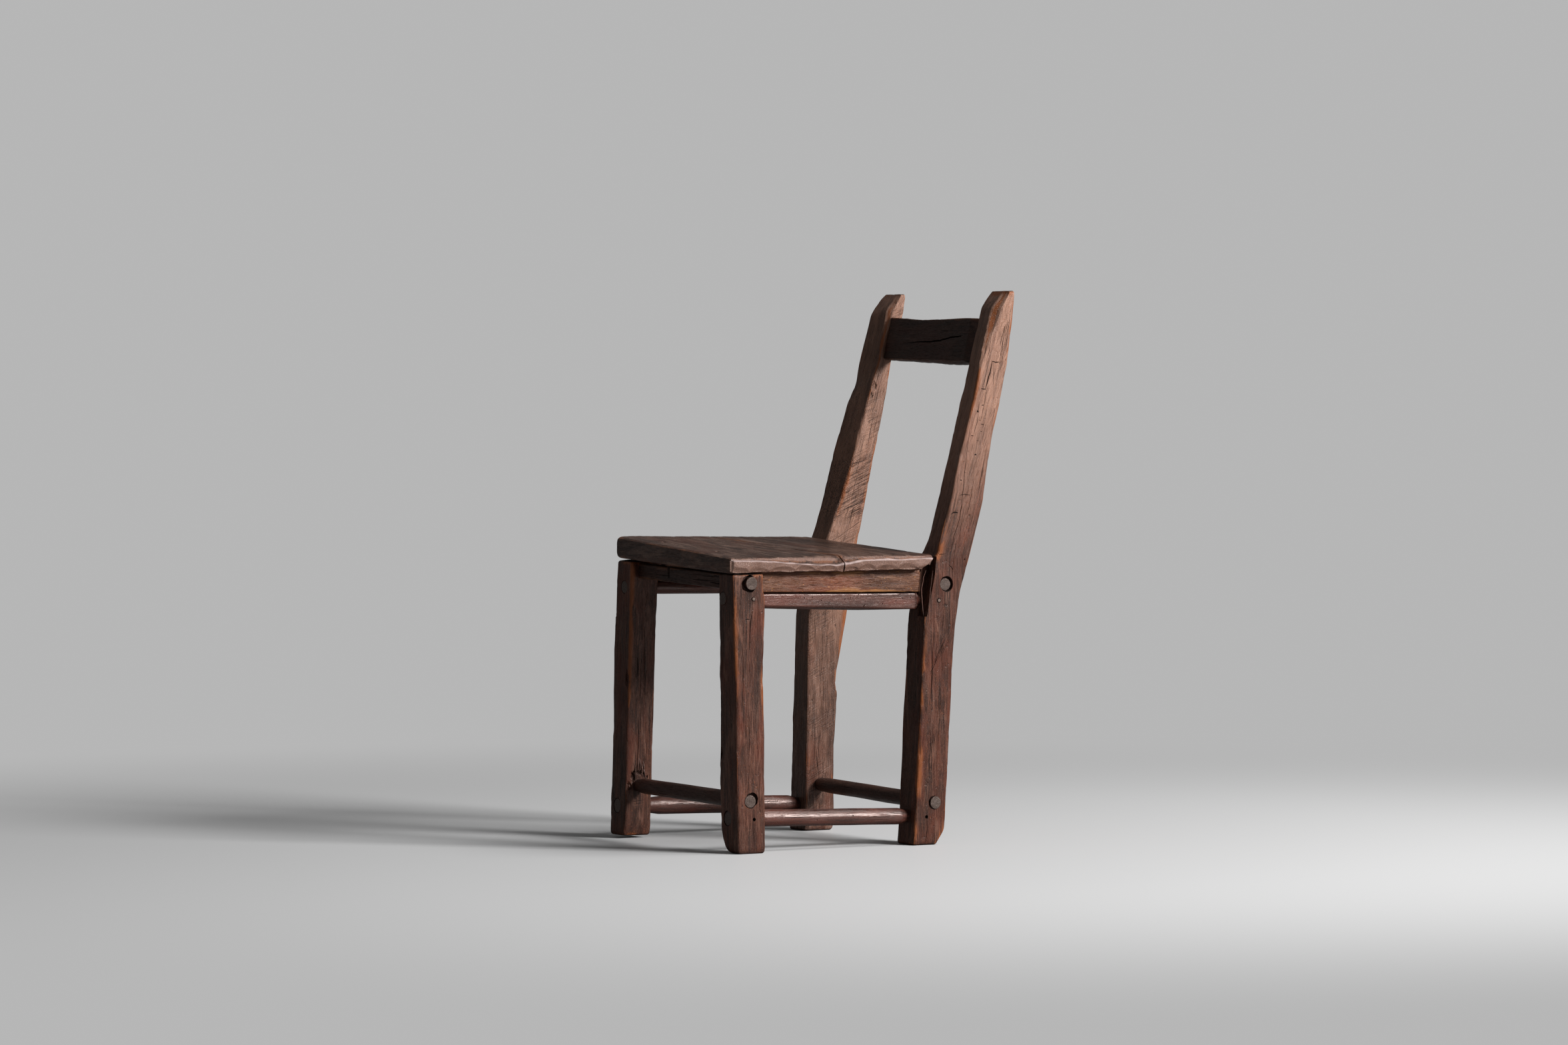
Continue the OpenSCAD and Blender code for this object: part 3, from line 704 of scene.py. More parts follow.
def column(node, inner, outer, front_inner, front_outer, back, foot, top, seed, radius=4.6, shape=None,
           **hewing):
    """An upright member. Its faces are functions of height, and top is one of x. foot is its lowest height.

    In the straight bar that is shaped first, +X is the outer and +Y the back face."""
    size = (54.0, 50.0, float(top(inner(TALL)) - foot))

    def place(points):
        share = points / np.array(size)
        z = foot + points[:, 2]
        x = between(inner(z), outer(z), share[:, 0])
        front = between(front_inner(z), front_outer(z), share[:, 0])
        y = between(front, back(z), share[:, 1])
        z = foot + share[:, 2] * (top(x) - foot)
        return np.stack([x, y, z], 1)

    flat, faces = brick(size, 2.6)
    edges = edge_distance(flat, size)
    sway = 1 + 0.35 * noise(flat * (1 / 30, 1 / 30, 1 / 55), seed + 21)
    bar = soften(flat, size, radius * sway)
    if shape:
        bar = shape(bar, size)
    points = place(bar)
    made = make_object(node + "_hewn", points, faces)
    settled = np.clip((flat[:, 2] - 1.5) / 10, 0, 1)
    hew(made, points, edges, ALONG_Z, seed, keep=settled, **hewing)
    inside_box(made, node)
    two_slots(made)
    return made


OUT_LEFT = (1, 0, 0)
OUT_RIGHT = (-1, 0, 0)
FORWARD = (0, -1, 0)
BACKWARD = (0, 1, 0)
UP = (0, 0, 1)

TENON = 10.0          # radius of the round members' tenons
RAIL_TENON = 11.5     # and of the flat rails' tenons
STRETCHER_TENON = 11.5   # and of the side stretchers' front tenons
PEG = 2.75            # radius of the small pegs
SEAT_PEG = 4.0        # and of the pegs through the seat
GAP = 0.35            # gap round a tenon's end
POST_TOP = 852.0

front_rail_ends = ((194.5, -223, 407), (-184.5, -217, 418.5))
back_rail_ends = ((193, 126, 400), (-190, 129, 411))
front_stretcher_ends = ((196.5, -225, 79), (-199, -221, 83))
back_stretcher_ends = ((195, 107, 65), (-190, 101, 75))
left_rail_ends = ((161, -253, 384.5), (161, 151, 374.5))
right_rail_ends = ((-160, -242, 392), (-163, 160, 386))
left_stretcher_ends = ((165, -246, 52.5), (166, 127, 42.5))
right_stretcher_ends = ((-177, -245.5, 50.5), (-165, 128, 41))


def seat_top(x):
    return between(446.0, 463.0, (SEAT_LEFT - x) / SEAT_LONG)


def seat_warp(x, y):
    """The seat has warped up at its right end: 1 at the front right corner and 0 along the left end."""
    return (SEAT_LEFT - x) / SEAT_LONG * between(0.3, 1.0, (SEAT_BACK - y) / SEAT_DEEP)


def seat_surface(x, y):
    """Height of the seat's top, with its warp."""
    return seat_top(x) + SEAT_TWIST * seat_warp(x, y)


def seat_under(x):
    return between(422.0, 435.0, (SEAT_LEFT - x) / SEAT_LONG)


def through(end, out, radius, seed):
    """The hole in which a tenon's end shows, and its worn mouth."""
    return bore(end, out, radius + GAP, 12, seed=seed)


def on_left(x, rows):
    """Points (x, y, z) from rows of (y, z) on the face at x."""
    return [(x, y, z) for y, z in rows]


def left_checks(x, rows):
    """Checks in the face at x that looks to +X. rows: (width, depth, seed, points (y, z))."""
    return [crack(on_left(x, points), OUT_LEFT, width, depth, seed) for width, depth, seed, points in rows]


def front_left_leg():
    inner = smooth_table([(0, 170), (3, 162), (9, 155), (20, 149), (38, 144.5), (95, 141.2), (250, 144.6),
                          (425, 148)], 2.0)
    outer = smooth_table([(0, 195.0), (8, 197), (200, 195.5), (352, 194), (425, 194)])
    front = smooth_table([(0, -244), (8, -246), (120, -248.5), (230, -249), (420, -254)])
    back = smooth_table([(0, -199), (10, -198), (150, -198.2), (260, -199.5), (330, -198), (372, -197.3),
                         (388, -197.6), (402, -201.2), (414, -200.5), (425, -199)])
    leg = column("front_left_leg", inner, outer, front, front, back, 0.0, lambda x: seat_under(x) - 0.5, 1,
                 dish=0.8)
    face = 194.6
    cuts = [
        bore((194.5, -225.6, 406.8), OUT_LEFT, 13.2, 9, seed=2, unevenness=0.12),
        through(front_stretcher_ends[0], OUT_LEFT, TENON, 3),
        bore((196.5, -222.2, 82), OUT_LEFT, 10.6, 6, seed=4, unevenness=0.1),
        through(left_rail_ends[0], FORWARD, TENON, 5),
        through(left_stretcher_ends[0], FORWARD, STRETCHER_TENON, 6),
        bore((195, -218, 383.6), OUT_LEFT, PEG + 0.8, 4, seed=7),
        bore((197, -218, 51.8), OUT_LEFT, PEG, 25, seed=8, unevenness=0.12),
        pit((195, -211.5, 382.5), (1.5, 1.5, 1.7), 3),
        *left_checks(face, [
            (1.1, 7, 1, [(-219, 379), (-222.5, 352), (-224.5, 330), (-226, 300)]),
            (0.7, 4, 2, [(-213, 398), (-209.5, 372), (-210.5, 345)]),
            (2.2, 2.5, 3, [(-232, 352.5), (-229, 354), (-226, 353)]),
            (0.9, 5, 4, [(-237, 330), (-236, 270), (-238.5, 215)]),
        ]),
        *left_checks(face + 1, [
            (0.7, 4, 5, [(-228, 230), (-226, 185), (-227, 150)]),
            (0.55, 4, 6, [(-214, 300), (-212, 245), (-213, 205)]),
        ]),
        crack(on_left(face + 1.6, [(-208, 120), (-210, 96), (-209, 66)]), OUT_LEFT, 0.6, 4, 7),
        crack(on_left(face + 2, [(-218, 48), (-219, 30), (-217.5, 6)]), OUT_LEFT, 0.8, 5, 8),
        crack([(161, -253, 374), (160, -252.4, 330), (162, -251, 296)], FORWARD, 1.3, 6, 9),
        crack([(154, -253.6, 405), (151.5, -253.4, 392), (153.5, -253.2, 376)], FORWARD, 1.6, 4, 10),
        crack([(165, -246.6, 41), (166.5, -246.2, 22), (165.5, -245.8, 6)], FORWARD, 1.1, 6, 11),
        crack([(178, -250, 240), (176, -249, 180), (177, -248, 130)], FORWARD, 0.7, 4, 12),
        crack([(157, -250, 200), (159, -249, 130)], FORWARD, 0.6, 4, 13),
        pit((197.5, -234, 119), (1.3, 3.2, 2.6), 4, 0.6, inside=False),
        pit((197.2, -226, 117.5), (1.1, 3.6, 1.6), 5, 0.6, inside=False),
        pit((197.0, -214, 119), (1.1, 2.8, 2.2), 6, 0.6, inside=False),
        pit((149, -248, 150), (3, 5, 9), 7, 0.5, inside=False),
        pit((196.5, -251, 292), (3, 3.4, 12), 8, 0.5, inside=False),
    ]
    cuts += scatter_checks(14, (face + 0.6, -244, 90), (face + 0.6, -204, 330), ALONG_Z, OUT_LEFT, 21)
    cuts += scatter_checks(9, (152, -250, 80), (188, -250, 330), ALONG_Z, FORWARD, 22)
    cuts += scatter_checks(8, (150, -198.6, 80), (188, -198.6, 330), ALONG_Z, BACKWARD, 23)
    carve(leg, cuts)
    return finish_piece(leg, "front_left_leg", leg_wood)


# Front right leg: clear of the floor, with a hacked outer edge and splinter damage at the stretcher
def front_right_leg():
    inner = smooth_table([(0, -160), (6, -156), (20, -153), (50, -151), (95, -149.3), (425, -136.5)])
    outer = smooth_table([(0, -199), (8, -201), (74, -200.4), (79, -198.2), (200, -194.5), (344, -190.6),
                          (350, -188.2), (425, -184)], 1.5)
    front = smooth_table([(0, -244), (10, -246), (425, -242)])
    back = smooth_table([(0, -199), (10, -198), (240, -196.5), (425, -192)])
    leg = column("front_right_leg", inner, outer, front, front, back, 4.0, lambda x: seat_under(x) - 0.9, 2,
                 dish=0.8)
    cuts = [
        through(front_rail_ends[1], OUT_RIGHT, RAIL_TENON, 11),
        through(front_stretcher_ends[1], OUT_RIGHT, TENON, 12),
        through(right_rail_ends[0], FORWARD, TENON, 13),
        through(right_stretcher_ends[0], FORWARD, STRETCHER_TENON, 14),
        bore((-186.5, -215, 391.6), OUT_RIGHT, PEG + 0.45, 9, seed=15),
        bore((-199.5, -218, 49.8), OUT_RIGHT, PEG + 0.45, 9, seed=16),
        pit((-149.5, -232, 97), (5, 4.5, 10), 11, 0.5),
        pit((-149, -209, 91), (4, 3.5, 8), 12, 0.5),
        pit((-150, -221, 103), (4, 7, 4), 13, 0.5, inside=False),
        pit((-149.5, -240, 82), (4, 5, 7), 14, 0.5, inside=False),
        crack([(-150, -226, 106), (-147.5, -224, 150), (-146.5, -225, 190)], OUT_LEFT, 1.2, 6, 11),
        crack([(-148, -210, 112), (-146, -209, 160)], OUT_LEFT, 0.8, 5, 12),
        crack([(-143, -216, 330), (-141, -217, 270), (-144, -215, 225)], OUT_LEFT, 0.9, 5, 13),
        crack([(-170, -244.6, 330), (-172, -244.8, 260), (-171, -245, 190)], FORWARD, 0.9, 5, 14),
        crack([(-190, -246, 75), (-188, -246, 62), (-168, -246.2, 60)], FORWARD, 0.8, 3, 15),
        crack([(-177, -246, 38), (-178, -246, 8)], FORWARD, 1.0, 5, 16),
        pit((-189, -244, 352), (4, 5, 10), 15, 0.5, inside=False),
        pit((-200.5, -245, 84), (3, 6, 7), 16, 0.5, inside=False),
        pit((-151, -244, 250), (4, 4, 16), 17, 0.5, inside=False),
    ]
    for k, z in enumerate((41, 45, 48.5, 53, 57.5)):
        cuts.append(crack([(-151.5, -238 + k, z), (-151.3, -222, z + 1.5), (-151.2, -206 - k, z + 2)],
                          OUT_LEFT, 0.7, 0.9, 20 + k, rise=1.5))
    cuts += scatter_checks(12, (-145, -238, 120), (-145, -200, 320), ALONG_Z, OUT_LEFT, 24)
    cuts += scatter_checks(8, (-190, -244, 90), (-150, -244, 330), ALONG_Z, FORWARD, 25)
    cuts += scatter_checks(8, (-190, -196, 90), (-150, -196, 330), ALONG_Z, BACKWARD, 26)
    carve(leg, cuts)
    dice = np.random.default_rng(15)
    splinters = []
    for k in range(9):
        y = dice.uniform(-236, -208)
        low = 92 + dice.uniform(0, 14)
        x = np.interp(low, [90, 130], [-149.5, -148.4])
        path = [(x, y, low), (x + 0.9, y + dice.normal(), low + 10),
                (x, y + 1.5 * dice.normal(), low + 15 + 9 * dice.random())]
        splinters.append(sliver(path, 1.4, dice.uniform(0.9, 1.7), k))
    join(leg, splinters)
    return finish_piece(leg, "front_right_leg", leg_wood)


# Back left post
left_outer_front = [(0, 68.5), (7, 69), (94, 74), (224, 81), (346, 88), (420, 94.5), (437, 103), (448, 112),
                    (469, 115), (528, 135), (588, 148.5), (683, 176.5), (742, 189), (765, 195), (786, 201),
                    (808, 208), (823, 213), (830, 219), (840, 229), (852, 240)]
left_inner_front = [(0, 68.5), (346, 88), (420, 94.5), (437, 103), (448, 116), (467, 126), (828, 224),
                    (838, 231), (852, 243)]
left_back = [(0, 109), (22, 125), (52, 128), (167, 134), (232, 138), (335, 145), (389, 155), (443, 173),
             (527, 195), (624, 212.5), (738, 240), (807, 250), (848, 252.5), (852, 251)]


def post_top(x):
    """A post's flat top."""
    return POST_TOP + 0 * x


def sliver(path, thick, wide, seed):
    """A splinter left standing in a split: thick along x, wide along y, and pointed at both ends."""
    rings, sides = 40, 10
    points, faces = [], []
    path = np.array(path, float)
    lengths = np.linalg.norm(np.diff(path, axis=0), axis=1)
    ends = np.concatenate([[0], np.cumsum(lengths)])
    marks = np.linspace(0, ends[-1], rings)
    spine = np.stack([np.interp(marks, ends, path[:, i]) for i in range(3)], 1)
    spine[:, :2] += 0.5 * np.stack([noise(spine / 9, seed), noise(spine / 9, seed + 1)], 1)
    turns = np.arange(sides) * math.tau / sides
    for k, centre in enumerate(spine):
        full = 0.25 + 0.75 * math.sin(math.pi * (k + 0.2) / (rings - 0.6)) ** 0.4
        for t in turns:
            points.append(centre + (math.cos(t) * thick / 2 * full, math.sin(t) * wide / 2 * full, 0))
    for k in range(rings - 1):
        faces += ring_faces(k * sides, (k + 1) * sides, sides)
    faces += [list(range(sides))[::-1], [(rings - 1) * sides + i for i in range(sides)]]
    made = make_object("sliver", np.array(points), faces)
    paint(made, "edge", np.full(len(points), 0.25))
    paint(made, "high", np.full(len(points), 0.6))
    # a faint painted highlight on the splinter
    paint(made, "painted_highlight", np.full(len(points), 0.28))
    return made


def handled_tip(outer_edge, low, width):
    """Pares one front edge of a post more and more towards its tip."""
    def shape(points, size):
        amount = 0.3 + width * np.clip((points[:, 2] - low) / 120, 0, 1) ** 1.3
        return pare(points, size, 0, 1, outer_edge, False, amount, amount * 1.2)
    return shape


def back_left_post():
    outer = smooth_table([(0, 191.5), (8, 193), (852, 193)])
    inner = smooth_table([(0, 142.5), (8, 141), (852, 141)])
    post = column("back_left_post", inner, outer, smooth_table(left_inner_front, 3),
                  smooth_table(left_outer_front, 3), smooth_table(left_back, 5), 0.0, post_top, 3,
                  radius=4.8, dish=0.75, wave=0.9, shape=handled_tip(True, 700.0, 15.0))
    face = 192.6
    split_size = (30.0, 60.0, 92.0)
    split, faces = brick(split_size, 3.0)
    edge = table([(0, 92.0), (8, 94.5), (40, 101.5), (77, 108.0), (92, 110.5)])
    ragged = split + np.array((169.0, 0.0, 351.0))
    ragged[:, 1] = between(60.0, edge(split[:, 2]), split[:, 1] / split_size[1])
    ragged += 0.9 * np.stack([rough(ragged / (6, 6, 30), 71), rough(ragged / (6, 6, 30), 72),
                              rough(ragged / (6, 6, 30), 73)], 1)
    cuts = [
        as_cutter(make_object("split", ragged, faces)),
        bore((193, 127.6, 400.6), OUT_LEFT, 12.2, 9, seed=22, unevenness=0.07),
        through(back_stretcher_ends[0], OUT_LEFT, TENON, 23),
        bore((193, 105.6, 65.5), OUT_LEFT, 10.1, 4, seed=24, unevenness=0.08),
        bore((193, 114, 375.4), OUT_LEFT, PEG + 1.1, 4, seed=25),
        bore((193, 92, 43.5), OUT_LEFT, PEG, 25, seed=26, unevenness=0.12),
        bore((161, 151, 374.5), BACKWARD, TENON + GAP, 12, seed=27),
        bore((166, 127, 42.5), BACKWARD, TENON + GAP, 12, seed=28),
        *left_checks(face, [
            (0.9, 8, 31, [(171, 640), (169, 632), (163, 591), (158, 550), (155, 524), (151, 499),
             (141, 473), (132, 433)]),
            (1.6, 4, 32, [(132, 430), (134.5, 427.5), (137.5, 426), (139.5, 421)]),
            (1.2, 4, 33, [(113.5, 447.2), (119, 446), (124, 447.3)]),
            (2.0, 2.5, 34, [(137, 508.5), (142, 511), (148, 509.5)]),
            (0.8, 1.6, 35, [(151, 536.4), (160, 538), (170, 536.6)]),
            (1.5, 2.5, 36, [(210, 742.6), (217, 741.2), (224, 741.5)]),
            (2.0, 4, 37, [(211, 743), (206.5, 724), (204.7, 721), (198, 698)]),
            (1.4, 2.5, 38, [(190.5, 701), (195, 699.4), (199, 700)]),
            (0.6, 3, 39, [(213.5, 741), (213.2, 716), (212, 690)]),
            (1.0, 4, 40, [(235, 800), (230, 783), (225, 767)]),
            (0.9, 5, 41, [(92, 40), (93, 24), (90.5, 5)]),
            (0.6, 4, 42, [(125, 389), (121.5, 350), (119, 318)]),
            (0.8, 4, 43, [(104, 330), (102, 280), (98, 225)]),
            (0.7, 4, 44, [(116, 260), (115, 200), (111, 140)]),
            (0.7, 4, 45, [(146, 470), (141, 440), (138, 404)]),
            (0.6, 4, 46, [(160, 520), (153, 486), (148, 452)]),
        ]),
        bore((193, 161, 438), OUT_LEFT, 1.1, 5, seed=47),
        pit((194, 92, 96), (2.0, 3.2, 6), 31, 0.5),
        pit((194.5, 78.5, 201), (4, 3.4, 6), 32, 0.5, inside=False),
        pit((193, 241, 720), (5, 5, 8), 33, 0.5),
        pit((193.5, 124, 368), (1.8, 4, 2.2), 34, 0.5, inside=False),
        pit((193, 215, 845), (4, 4, 5), 35, 0.5, inside=False),
    ]
    dice = np.random.default_rng(5)
    for k in range(16):
        start = np.array((95 + 3 * dice.random() + 2.6 * k * dice.uniform(0.4, 1), 262 + 3.2 * k))
        run = np.array((30, 52)) * dice.uniform(0.35, 0.8)
        cuts.append(crack(on_left(face, [start, start + run / 2 + dice.normal(size=2), start + run]),
                          OUT_LEFT, dice.uniform(0.4, 0.8), 0.7, 60 + k, rise=1.2))
    for k in range(12):
        z = dice.uniform(552, 690)
        y = np.interp(z, [528, 683], [140, 180]) + dice.uniform(4, 24)
        cuts.append(crack(on_left(face, [(y, z), (y + dice.uniform(2, 6), z + dice.uniform(-1.5, 1.5))]),
                          OUT_LEFT, dice.uniform(0.8, 1.6), 1.4, 90 + k, rise=1.5, step=1))
    cuts += scatter_checks(10, (face, 86, 80), (face, 120, 290), ALONG_Z, OUT_LEFT, 27)
    cuts += leaning_checks(16, face, OUT_LEFT, left_outer_front, left_back, 470, 780, 28)
    cuts += leaning_checks(12, 141.4, OUT_RIGHT, left_inner_front, left_back, 470, 780, 29)
    carve(post, cuts)
    join(post, [
        sliver([(185, 91, 350), (184, 88.6, 370), (183.5, 87.8, 392), (185, 90.0, 410), (187, 93.5, 422)],
               1.4, 1.5, 1),
        sliver([(192, 94.6, 350), (192, 95.6, 366), (192, 98.8, 392), (192, 102.8, 421)], 0.9, 0.9, 2),
        sliver([(187, 92.5, 347), (188, 93, 353), (187.5, 94, 359)], 2.0, 1.4, 3),
    ])
    return finish_piece(post, "back_left_post", left_post_wood)


def leaning_checks(count, face, out, front_rows, back_rows, low, high, seed):
    """Fine checks that follow the lean of a raked post."""
    dice = np.random.default_rng(seed)
    front, back = table(front_rows), table(back_rows)
    found = []
    for k in range(count):
        z = dice.uniform(low, high)
        run = dice.uniform(18, 70)
        share = dice.uniform(0.15, 0.85)
        path = [(face, between(front(h), back(h), share) + dice.normal() * 0.5, h)
                for h in np.linspace(z, z + run, 4)]
        found.append(crack(path, out, dice.uniform(0.35, 0.9), dice.uniform(2, 5), seed + k))
    return found


# Back right post
right_inner_front = [(0, 74), (8, 74), (340, 80), (415, 91), (434, 106), (463, 114), (522, 139), (584, 161),
                     (646, 179), (693, 193), (708, 197), (729, 205), (745, 211), (784, 219), (812, 228),
                     (824, 230), (832, 235), (852, 252)]
right_outer_front = [(0, 75), (46, 76.5), (338, 86), (415, 93), (434, 107.4), (462, 114), (522, 134),
                     (584, 152), (646, 171), (677, 182), (712, 199), (740, 204), (819, 227.5), (827, 232.5),
                     (843, 245.5), (852, 256)]
right_back = [(0, 124), (5, 127), (143, 130.5), (217, 135.5), (231, 132), (249, 134), (275, 140), (323, 150),
              (458, 173), (683, 225), (709, 230), (742, 235), (814, 257), (830, 260), (847, 262), (852, 261)]


def back_right_post():
    outer = smooth_table([(0, -188.5), (8, -190), (852, -190)])
    inner = smooth_table([(0, -139.5), (8, -138), (852, -138)])
    post = column("back_right_post", inner, outer, smooth_table(right_inner_front, 3),
                  smooth_table(right_outer_front, 3), smooth_table(right_back, 3), 0.0, post_top, 4,
                  radius=4.4, dish=0.75, wave=0.9, shape=handled_tip(False, 700.0, 11.0))
    face = -138.4
    cuts = [
        through(back_rail_ends[1], OUT_RIGHT, RAIL_TENON, 41),
        through(back_stretcher_ends[1], OUT_RIGHT, TENON, 42),
        bore((-190, 114, 386.7), OUT_RIGHT, PEG + 0.45, 9, seed=43),
        bore((-190, 92, 41.9), OUT_RIGHT, PEG + 0.45, 9, seed=44),
        bore((-163, 160, 386), BACKWARD, TENON + GAP, 12, seed=45),
        bore((-165, 128, 41), BACKWARD, TENON + GAP, 12, seed=46),
        crack(on_left(face, [(136, 505), (160, 514), (185, 523.5)]), OUT_LEFT, 1.2, 1.4, 51, rise=1.5),
        crack(on_left(face, [(131, 462), (153, 476), (176, 489.5)]), OUT_LEFT, 0.9, 1.2, 52, rise=1.5),
        crack(on_left(face, [(150, 578), (170, 583), (189, 588.5)]), OUT_LEFT, 0.9, 1.2, 53, rise=1.5),
        *left_checks(face, [
            (1.1, 5, 54, [(95, 130), (96, 110), (98.5, 90)]),
            (0.7, 4, 55, [(108, 330), (106, 270), (101, 220)]),
        ]),
        crack([(-170, 140, 560), (-168, 158, 620), (-171, 176, 680)], FORWARD, 0.9, 4, 56),
        pit((-136.5, 192, 722), (5, 6, 11), 51, 0.5, inside=False),
        pit((-136.5, 204, 706), (4, 5, 8), 52, 0.5, inside=False),
        pit((-137, 198, 690), (3, 4, 7), 53, 0.5),
        pit((-189, 128, 238), (6, 6, 12), 54, 0.4, inside=False),
        pit((-138, 136, 232), (8, 5, 13), 55, 0.4, inside=False),
    ]
    dice = np.random.default_rng(9)
    for k in range(40):
        z = dice.uniform(455, 690) if k > 26 else dice.uniform(500, 592)
        front, back = table(right_inner_front)(z), table(right_back)(z)
        y = between(front + 4, back - 14, dice.random())
        run = dice.uniform(6, min(28, back - y - 4))
        cuts.append(crack(on_left(face, [(y, z), (y + run / 2, z + 0.26 * run), (y + run, z + 0.5 * run)]),
                          OUT_LEFT, dice.uniform(0.35, 0.8), 0.8, 100 + k, rise=1.2))
    cuts += scatter_checks(9, (face, 84, 80), (face, 120, 290), ALONG_Z, OUT_LEFT, 31)
    cuts += leaning_checks(10, face, OUT_LEFT, right_inner_front, right_back, 470, 780, 32)
    cuts += leaning_checks(12, -189.6, OUT_RIGHT, right_outer_front, right_back, 470, 780, 33)
    carve(post, cuts)
    return finish_piece(post, "back_right_post", right_post_wood)


# ---------------------------------------------------------------- seat

SEAT_LEFT, SEAT_RIGHT = 201.0, -186.0
SEAT_LONG = SEAT_LEFT - SEAT_RIGHT
SEAT_BACK, SEAT_DEEP = 107.0, 356.0   # at the right end
SEAT_TWIST = 8.5      # how far the top of the front right corner has warped up
SEAT_LIFT = 2.6       # and its underside, clear of the leg
# Where hewing strokes meet along the seat's left end
END_CUSPS = (-262, -228, -193, -146, -110, -73, -35, -4, 37, 72, 101)
seat_peg_places = {"front_left": (92, -221), "front_right": (-77, -219), "back_left": (174, 40),
                   "back_right": (-161, 44)}


def seat_board(node, front_line, back_line, joint_at_back, seed):
    """One board of the seat. front_line and back_line are (y at the right end, y at the left end)."""
    deep = (back_line[0] + back_line[1] - front_line[0] - front_line[1]) / 2
    size = (SEAT_LONG, deep, 26.0)
    flat, faces = brick(size, 2.7)
    to_joint = size[1] - flat[:, 1] if joint_at_back else flat[:, 1]
    at_joint = np.exp(-(to_joint / 7) ** 2)
    sway = 1 + 0.4 * noise(flat / 34, seed + 21)
    points = soften(flat, size, (3.8 - 2.9 * at_joint) * sway)
    y_here = between(front_line[1], back_line[1], points[:, 1] / deep)
    worn_edge = smooth_table([(-262, 2.5), (-250, 2.0), (-192, 3.5), (-138, 8.0), (-95, 11.0), (-74, 11.5),
                              (-58, 10.0), (-47, 8.5), (-20, 4.0), (47, 4.0), (91, 2.5), (101, 5.0)], 8)
    pare(points, size, 0, 2, True, True, 2 + 1.5 * worn_edge(y_here), 1.5 + worn_edge(y_here))
    stroke = np.interp(y_here, END_CUSPS, np.arange(len(END_CUSPS)))
    scallop = 3.0 + (8.5 + 6.0 * noise(flat / 50, seed + 9)) * np.sin(math.pi * (stroke % 1)) ** 0.6
    pare(points, size, 0, 2, True, False, 0.36 * scallop, scallop)
    pare(points, size, 0, 2, False, True, 2.5, 2.0)
    if joint_at_back:
        pare(points, size, 0, 1, False, False, 15.0, 13.0)
        pare(points, size, 0, 1, True, False, 5.0, 6.0)
        pare(points, size, 1, 2, False, True, 2.5 + 2 * sway, 2.0)
    else:
        pare(points, size, 1, 2, True, False, 22.0, 19.0)
    if joint_at_back:
        rounding = 9.0
        to_edge = np.minimum(points[:, 2], size[2] - points[:, 2])
        sunk = rounding - np.sqrt(rounding ** 2 - np.maximum(rounding - to_edge, 0) ** 2)
        at_corner = np.exp(-(points[:, 0] / 24) ** 2 - (points[:, 1] / 24) ** 2)
        points[:, :2] += 0.75 * (sunk * at_corner)[:, None]
    share = points / np.array(size)
    x = SEAT_RIGHT + points[:, 0]
    open_joint = 0.9 * np.exp(-((x - 60) / 90) ** 2) * at_joint * (-1 if joint_at_back else 1)
    y = between(between(front_line[0], front_line[1], share[:, 0]),
                between(back_line[0], back_line[1], share[:, 0]), share[:, 1]) + open_joint
    twist = between(SEAT_LIFT, SEAT_TWIST, share[:, 2]) * seat_warp(x, y)
    z = between(seat_under(x), seat_top(x), share[:, 2]) + twist
    placed = np.stack([x, y, z], 1)
    made = make_object(node + "_hewn", placed, faces)
    at_left = np.exp(-((size[0] - flat[:, 0]) / 7) ** 2) * (1 - np.exp(-(to_joint / 5) ** 2))
    edges = edge_distance(flat, size)
    hew(made, placed, edges, ALONG_X, seed, wave=0.5, dish=0.3 + 2.0 * at_left, ridge=0.16,
        nick=1.3, dish_size=(60, 26), bias=1.5 * at_left)
    inside_box(made, node, upright=False)
    # painted highlight: a pale band just under the arris of the seat's left end, for the light it catches
    below_arris = (seat_top(x) - worn_edge(y) - 0.8 - z) / 2.4
    paint(made, "painted_highlight", np.exp(-below_arris ** 2 - ((SEAT_LEFT - x) / 5) ** 2))
    two_slots(made)
    return made


def peg_bore(name):
    x, y = seat_peg_places[name]
    return bore((x, y, seat_surface(x, y)), UP, SEAT_PEG + GAP, 9, seed=x, unevenness=0.06)


def seat_check(path, width, seed):
    """A check in the seat's top through the points (x, y)."""
    return crack([(x, y, seat_surface(x, y)) for x, y in path], UP, width, 4, seed)


def seat_marks(seed, y_low, y_high, count):
    """Fine checks along the grain of the seat's top."""
    dice = np.random.default_rng(seed)
    found = []
    for k in range(count):
        x = dice.uniform(-170, 120)
        y = dice.uniform(y_low, y_high)
        run = dice.uniform(20, 90)
        path = [(x + run * s, y + dice.normal() * 0.5 + 0.02 * run * s) for s in (0, 0.35, 0.7, 1)]
        path = [(a, b, seat_surface(a, b) - 0.2) for a, b in path]
        found.append(crack(path, UP, dice.uniform(0.35, 0.9), dice.uniform(2, 4), seed + k))
    return found


